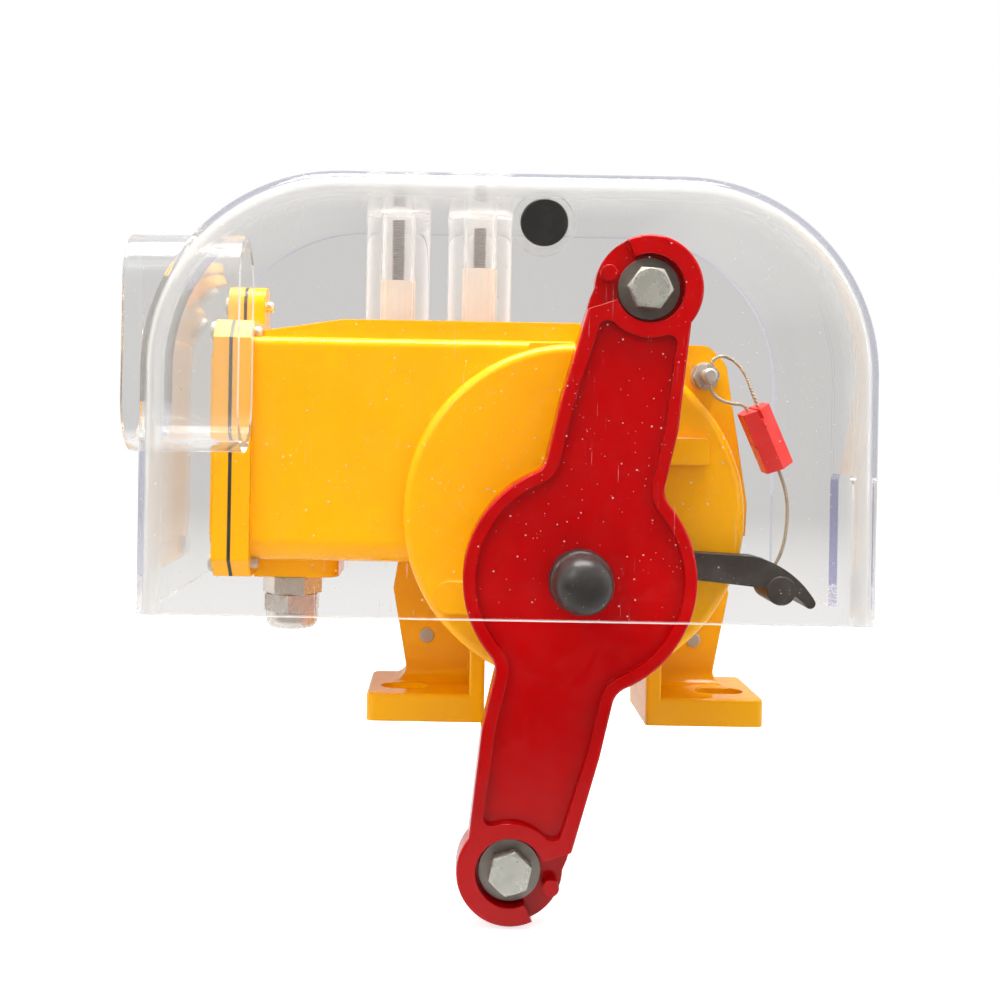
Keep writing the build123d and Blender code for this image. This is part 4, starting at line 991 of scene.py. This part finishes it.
@dataclass
class ThreadedRod:
    """A rod with a real screw thread, standing along Z before it is turned into place.

    Attributes:
        radius: Outside radius, in metres.
        pitch: Thread pitch, in metres.
        low: Lower end along the axis, in metres.
        high: Upper end along the axis, in metres.
        steps: Steps per turn.
        depth_share: The thread's depth as a share of the pitch.
        crest_share: The crest's width as a share of the pitch.
    """

    radius: float
    pitch: float
    low: float
    high: float
    steps: int = 28
    depth_share: float = 0.6
    crest_share: float = 0.12

    def shape(self) -> bmesh.types.BMesh:
        """The threaded rod as a closed mesh about the Z axis.

        Returns:
            A bmesh that the caller frees.
        """
        root = self.radius - self.pitch * self.depth_share
        turns = math.ceil((self.high - self.low) / self.pitch) + 2
        start = self.low - self.pitch
        rod = bmesh.new()
        flat = self.crest_share * self.pitch
        outline = (
            (root, 0.0),
            (self.radius, 0.5 * self.pitch - flat / 2),
            (self.radius, 0.5 * self.pitch + flat / 2),
            (root, self.pitch),
        )
        corners = [rod.verts.new((across, 0.0, start + along)) for across, along in outline]
        edges = [rod.edges.new(pair) for pair in zip(corners, corners[1:])]
        bmesh.ops.spin(
            rod,
            geom=corners + edges,
            cent=(0.0, 0.0, 0.0),
            axis=(0.0, 0.0, 1.0),
            dvec=(0.0, 0.0, self.pitch / self.steps),
            angle=2 * math.pi * turns,
            steps=self.steps * turns,
            use_merge=False,
        )
        bmesh.ops.remove_doubles(rod, verts=rod.verts, dist=self.pitch * 0.02)
        for level, keep_upper in ((self.low, True), (self.high, False)):
            everything = rod.verts[:] + rod.edges[:] + rod.faces[:]
            bmesh.ops.bisect_plane(
                rod,
                geom=everything,
                plane_co=(0.0, 0.0, level),
                plane_no=(0.0, 0.0, 1.0),
                clear_inner=keep_upper,
                clear_outer=not keep_upper,
            )
            rim = [edge for edge in rod.edges if edge.is_boundary]
            rim = [edge for edge in rim if all(abs(vert.co.z - level) < 1e-7 for vert in edge.verts)]
            bmesh.ops.contextual_create(rod, geom=rim)
        bmesh.ops.recalc_face_normals(rod, faces=rod.faces)
        return rod


@dataclass
class ThreadPiece:
    """Threaded rods that stand for one CAD node, each turned and moved to its place."""

    name: str
    node: str
    body: str
    slot: Slot
    rods: list[tuple[ThreadedRod, Matrix]] = field(default_factory=list)

    def build(self, material: bpy.types.Material) -> bpy.types.Object:
        """Makes one object of all the rods.

        Args:
            material: The rods' finish.

        Returns:
            The object.
        """
        whole = bmesh.new()
        for rod, place in self.rods:
            part = rod.shape()
            bmesh.ops.transform(part, matrix=place, verts=part.verts)
            carrier = bpy.data.meshes.new("carrier")
            part.to_mesh(carrier)
            part.free()
            whole.from_mesh(carrier)
            bpy.data.meshes.remove(carrier)
        return place_piece(self.name, whole, self.body, self.slot, material, self.node)


def place_piece(
    name: str,
    shape: bmesh.types.BMesh,
    body: str,
    slot: Slot,
    material: bpy.types.Material,
    *stands_for: str,
    smooth: bool = False,
) -> bpy.types.Object:
    """Turns a finished bmesh into a piece that rides on a body.

    Args:
        name: The piece's name.
        shape: The bmesh, which is freed here.
        body: The CAD body that it rides on.
        slot: The material slot that it takes its finish from.
        material: Its finish.
        stands_for: The CAD nodes that it replaces.
        smooth: True to shade it smooth.

    Returns:
        The object.
    """
    mesh = bpy.data.meshes.new(name)
    shape.to_mesh(mesh)
    shape.free()
    for polygon in mesh.polygons:
        polygon.use_smooth = smooth
    mesh.materials.append(material)
    piece = bpy.data.objects.new(name, mesh)
    bpy.context.collection.objects.link(piece)
    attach(piece, body)
    if stands_for:
        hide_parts(*stands_for)
    LOG.info("piece %s: %d faces on %s", name, len(mesh.polygons), body)
    return piece


class FinishRack:
    """Every finish of the switch, made once and handed out by slot."""

    def __init__(self) -> None:
        """Makes the finishes."""
        yellow = CastPaint("yellow_cast_paint", srgb(250, 178, 0), srgb(244, 158, 0), srgb(255, 204, 6))
        red = CastPaint(
            "red_gloss_paint",
            srgb(187, 0, 3),
            srgb(160, 0, 2),
            srgb(198, 10, 8),
            peel_depth=0.00003,
            peel_scale=170.0,
            lump_depth=0.00015,
            roughness=0.12,
            drift_share=0.5,
            patch_share=0.25,
            pit_share=0.02,
        )
        clear = ClearSheet("clear_acrylic", (0.985, 0.972, 0.958, 1.0), (0.96, 0.955, 0.95, 1.0))
        thick = (0.985, 0.98, 0.975, 1.0)
        lamp_through_thick = (0.95, 0.95, 0.95, 1.0)
        turned = ClearSheet("turned_acrylic", thick, lamp_through_thick, haze=0.13)
        cut = ClearSheet("cut_acrylic", thick, lamp_through_thick, haze=0.05)
        plastic = MouldedPlastic("black_moulding", srgb(58, 52, 48), srgb(88, 82, 76), 0.42)
        rubber = MouldedPlastic("black_rubber", srgb(52, 50, 48), srgb(84, 82, 80), 0.36, coat=0.2)
        nylon = MouldedPlastic("pale_nylon", srgb(226, 214, 200), srgb(238, 230, 220), 0.45)
        seal = MouldedPlastic("red_seal_plastic", srgb(226, 40, 34), srgb(240, 84, 78), 0.32, coat=0.25)
        bright = (0.86, 0.83, 0.78, 1.0)
        nickel = TurnedMetal("nickel_plate", bright, (0.68, 0.64, 0.58, 1.0), 0.24, metallic=0.5)
        zinc = (0.66, 0.64, 0.57, 1.0)
        steel = TurnedMetal("zinc_steel", zinc, (0.46, 0.44, 0.38, 1.0), 0.34, metallic=0.5)
        bronze = TurnedMetal("bronze", (0.62, 0.40, 0.18, 1.0), (0.45, 0.28, 0.12, 1.0), 0.3)
        self.by_slot: dict[Slot, bpy.types.Material] = {
            Slot.YELLOW_PAINT: yellow.make(),
            Slot.RED_PAINT: red.make(),
            Slot.CLEAR_PLASTIC: clear.make(),
            Slot.BLACK_PLASTIC: plastic.make(),
            Slot.BLACK_RUBBER: rubber.make(),
            Slot.WHITE_NYLON: nylon.make(),
            Slot.RED_PLASTIC: seal.make(),
            Slot.NICKEL: nickel.make(),
            Slot.STEEL: steel.make(),
            Slot.BRONZE: bronze.make(),
        }
        # The darker colour is the painted shade in the wire's grooves, and also its stains.
        self.wire = TwistedWire("seal_wire_jacket", srgb(206, 194, 170), srgb(150, 136, 112)).make()
        washer = TurnedMetal("washer_steel", (0.37, 0.33, 0.29, 1.0), (0.26, 0.23, 0.2, 1.0), 0.42)
        self.washer = washer.make()
        head = (0.68, 0.68, 0.60, 1.0)
        bolt = TurnedMetal("bolt_steel", head, (0.50, 0.50, 0.43, 1.0), 0.30, metallic=0.6)
        self.bolt = bolt.make()
        self.turned = turned.make()
        self.cut = cut.make()
        thread = TurnedMetal("rod_steel", (0.22, 0.20, 0.19, 1.0), (0.14, 0.13, 0.12, 1.0), 0.4)
        self.rod = thread.make()

    def dress(self, frame: dict[str, Any]) -> None:
        """Gives each CAD node the finish of its slot, or its own.

        Args:
            frame: The loaded frame.
        """
        own = {
            "rope_clamp_washers": self.washer,
            "rope_clamp_bolts": self.bolt,
            "hub_washer": self.washer,
            "seal_nut": self.bolt,
            "hood_posts": self.turned,
            "hood_rope_sleeve": self.cut,
        }
        slots = {part["node"]: part["material_slot"] for part in frame["record"]["subparts"]}
        for name, node in frame["nodes"].items():
            material = own.get(name) or self.by_slot[Slot(slots[name])]
            if not node.material_slots:
                node.data.materials.append(material)
            for place in node.material_slots:
                place.material = material
            LOG.info("node %s wears %s", name, material.name)


@dataclass
class PostRods:
    """The threaded rods inside the hood's two posts, in millimetres.

    Attributes:
        places: X of each post's axis.
        line: Y of both axes.
        low: Z of the rods' lower ends.
        tops: Z of each rod's upper end.
        radius: The thread's outside radius.
        pitch: The thread's pitch.
    """

    places: Pair = (-79.0, -42.0)
    line: float = -13.0
    low: float = 169.0
    tops: Pair = (226.5, 223.5)
    radius: float = 3.0
    pitch: float = 1.0

    def build(self, material: bpy.types.Material) -> bpy.types.Object:
        """Makes both rods as one piece."""
        rods = []
        for across, top in zip(self.places, self.tops):
            measures = (self.radius, self.pitch, self.low, top)
            rod = ThreadedRod(*(measure * MILLIMETRE for measure in measures))
            rods.append((rod, Matrix.Translation(scaled((across, self.line, 0.0)))))
        piece = ThreadPiece("threaded_post_rods", "post_studs", "housing", Slot.STEEL, rods)
        return piece.build(material)


@dataclass
class HubCap:
    """The domed rubber cap with its lip and groove, spun about the shaft's axis, in millimetres.

    Attributes:
        seat: Where its foot stands along Y.
        shaft: The axis as X and Z.
        steps: Steps around the axis.
        outline: Radius and distance from the seat, from the foot to the tip.
        inside: The same for the hollow, from its floor back to the foot.
    """

    seat: float = -71.5
    shaft: Pair = (0.0, 72.0)
    steps: int = 96
    outline: tuple[Pair, ...] = (
        (12.7, 0.0),
        (13.0, 0.5),
        (13.0, 9.6),
        (12.8, 10.8),
        (12.2, 11.4),
        (11.6, 11.6),
        (11.45, 12.0),
        (11.6, 12.4),
        (12.1, 12.7),
        (12.2, 13.4),
        (12.1, 18.0),
        (11.6, 21.2),
        (10.4, 24.0),
        (8.4, 26.0),
        (5.8, 27.1),
        (3.0, 27.45),
        (0.0, 27.5),
    )
    inside: tuple[Pair, ...] = ((0.0, 18.5), (10.4, 18.5), (10.4, 0.0))

    def build(self, material: bpy.types.Material) -> bpy.types.Object:
        """Makes the cap and hands it back."""
        shape = bmesh.new()
        points = self.outline + self.inside
        corners = [shape.verts.new((radius, -along, 0.0)) for radius, along in points]
        edges = [shape.edges.new(pair) for pair in zip(corners, corners[1:])]
        edges.append(shape.edges.new((corners[-1], corners[0])))
        bmesh.ops.spin(
            shape,
            geom=corners + edges,
            cent=(0.0, 0.0, 0.0),
            axis=(0.0, 1.0, 0.0),
            dvec=(0.0, 0.0, 0.0),
            angle=2 * math.pi,
            steps=self.steps,
            use_merge=True,
        )
        bmesh.ops.remove_doubles(shape, verts=shape.verts, dist=0.01)
        bmesh.ops.recalc_face_normals(shape, faces=shape.faces)
        bmesh.ops.scale(shape, vec=(MILLIMETRE,) * 3, verts=shape.verts)
        place = scaled((self.shaft[0], self.seat, self.shaft[1]))
        bmesh.ops.translate(shape, vec=place, verts=shape.verts)
        slot = Slot.BLACK_RUBBER
        return place_piece("domed_hub_cap", shape, "lever", slot, material, "hub_cap", smooth=True)


def main() -> None:
    """Builds the whole scene in order."""
    logging.basicConfig(level=logging.INFO, format="%(message)s")
    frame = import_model()
    Viewpoint().build()
    rack = FinishRack()
    SealWire().build(rack.wire)
    Studio().build()
    rack.dress(frame)
    PostRods().build(rack.rod)
    HubCap().build(rack.by_slot[Slot.BLACK_RUBBER])
    scene = bpy.context.scene
    scene.view_settings.view_transform = "Standard"
    scene.cycles.max_bounces = ALL_BOUNCES
    scene.cycles.glossy_bounces = CLEAR_BOUNCES
    scene.cycles.transmission_bounces = CLEAR_BOUNCES


if __name__ == "__main__":
    main()
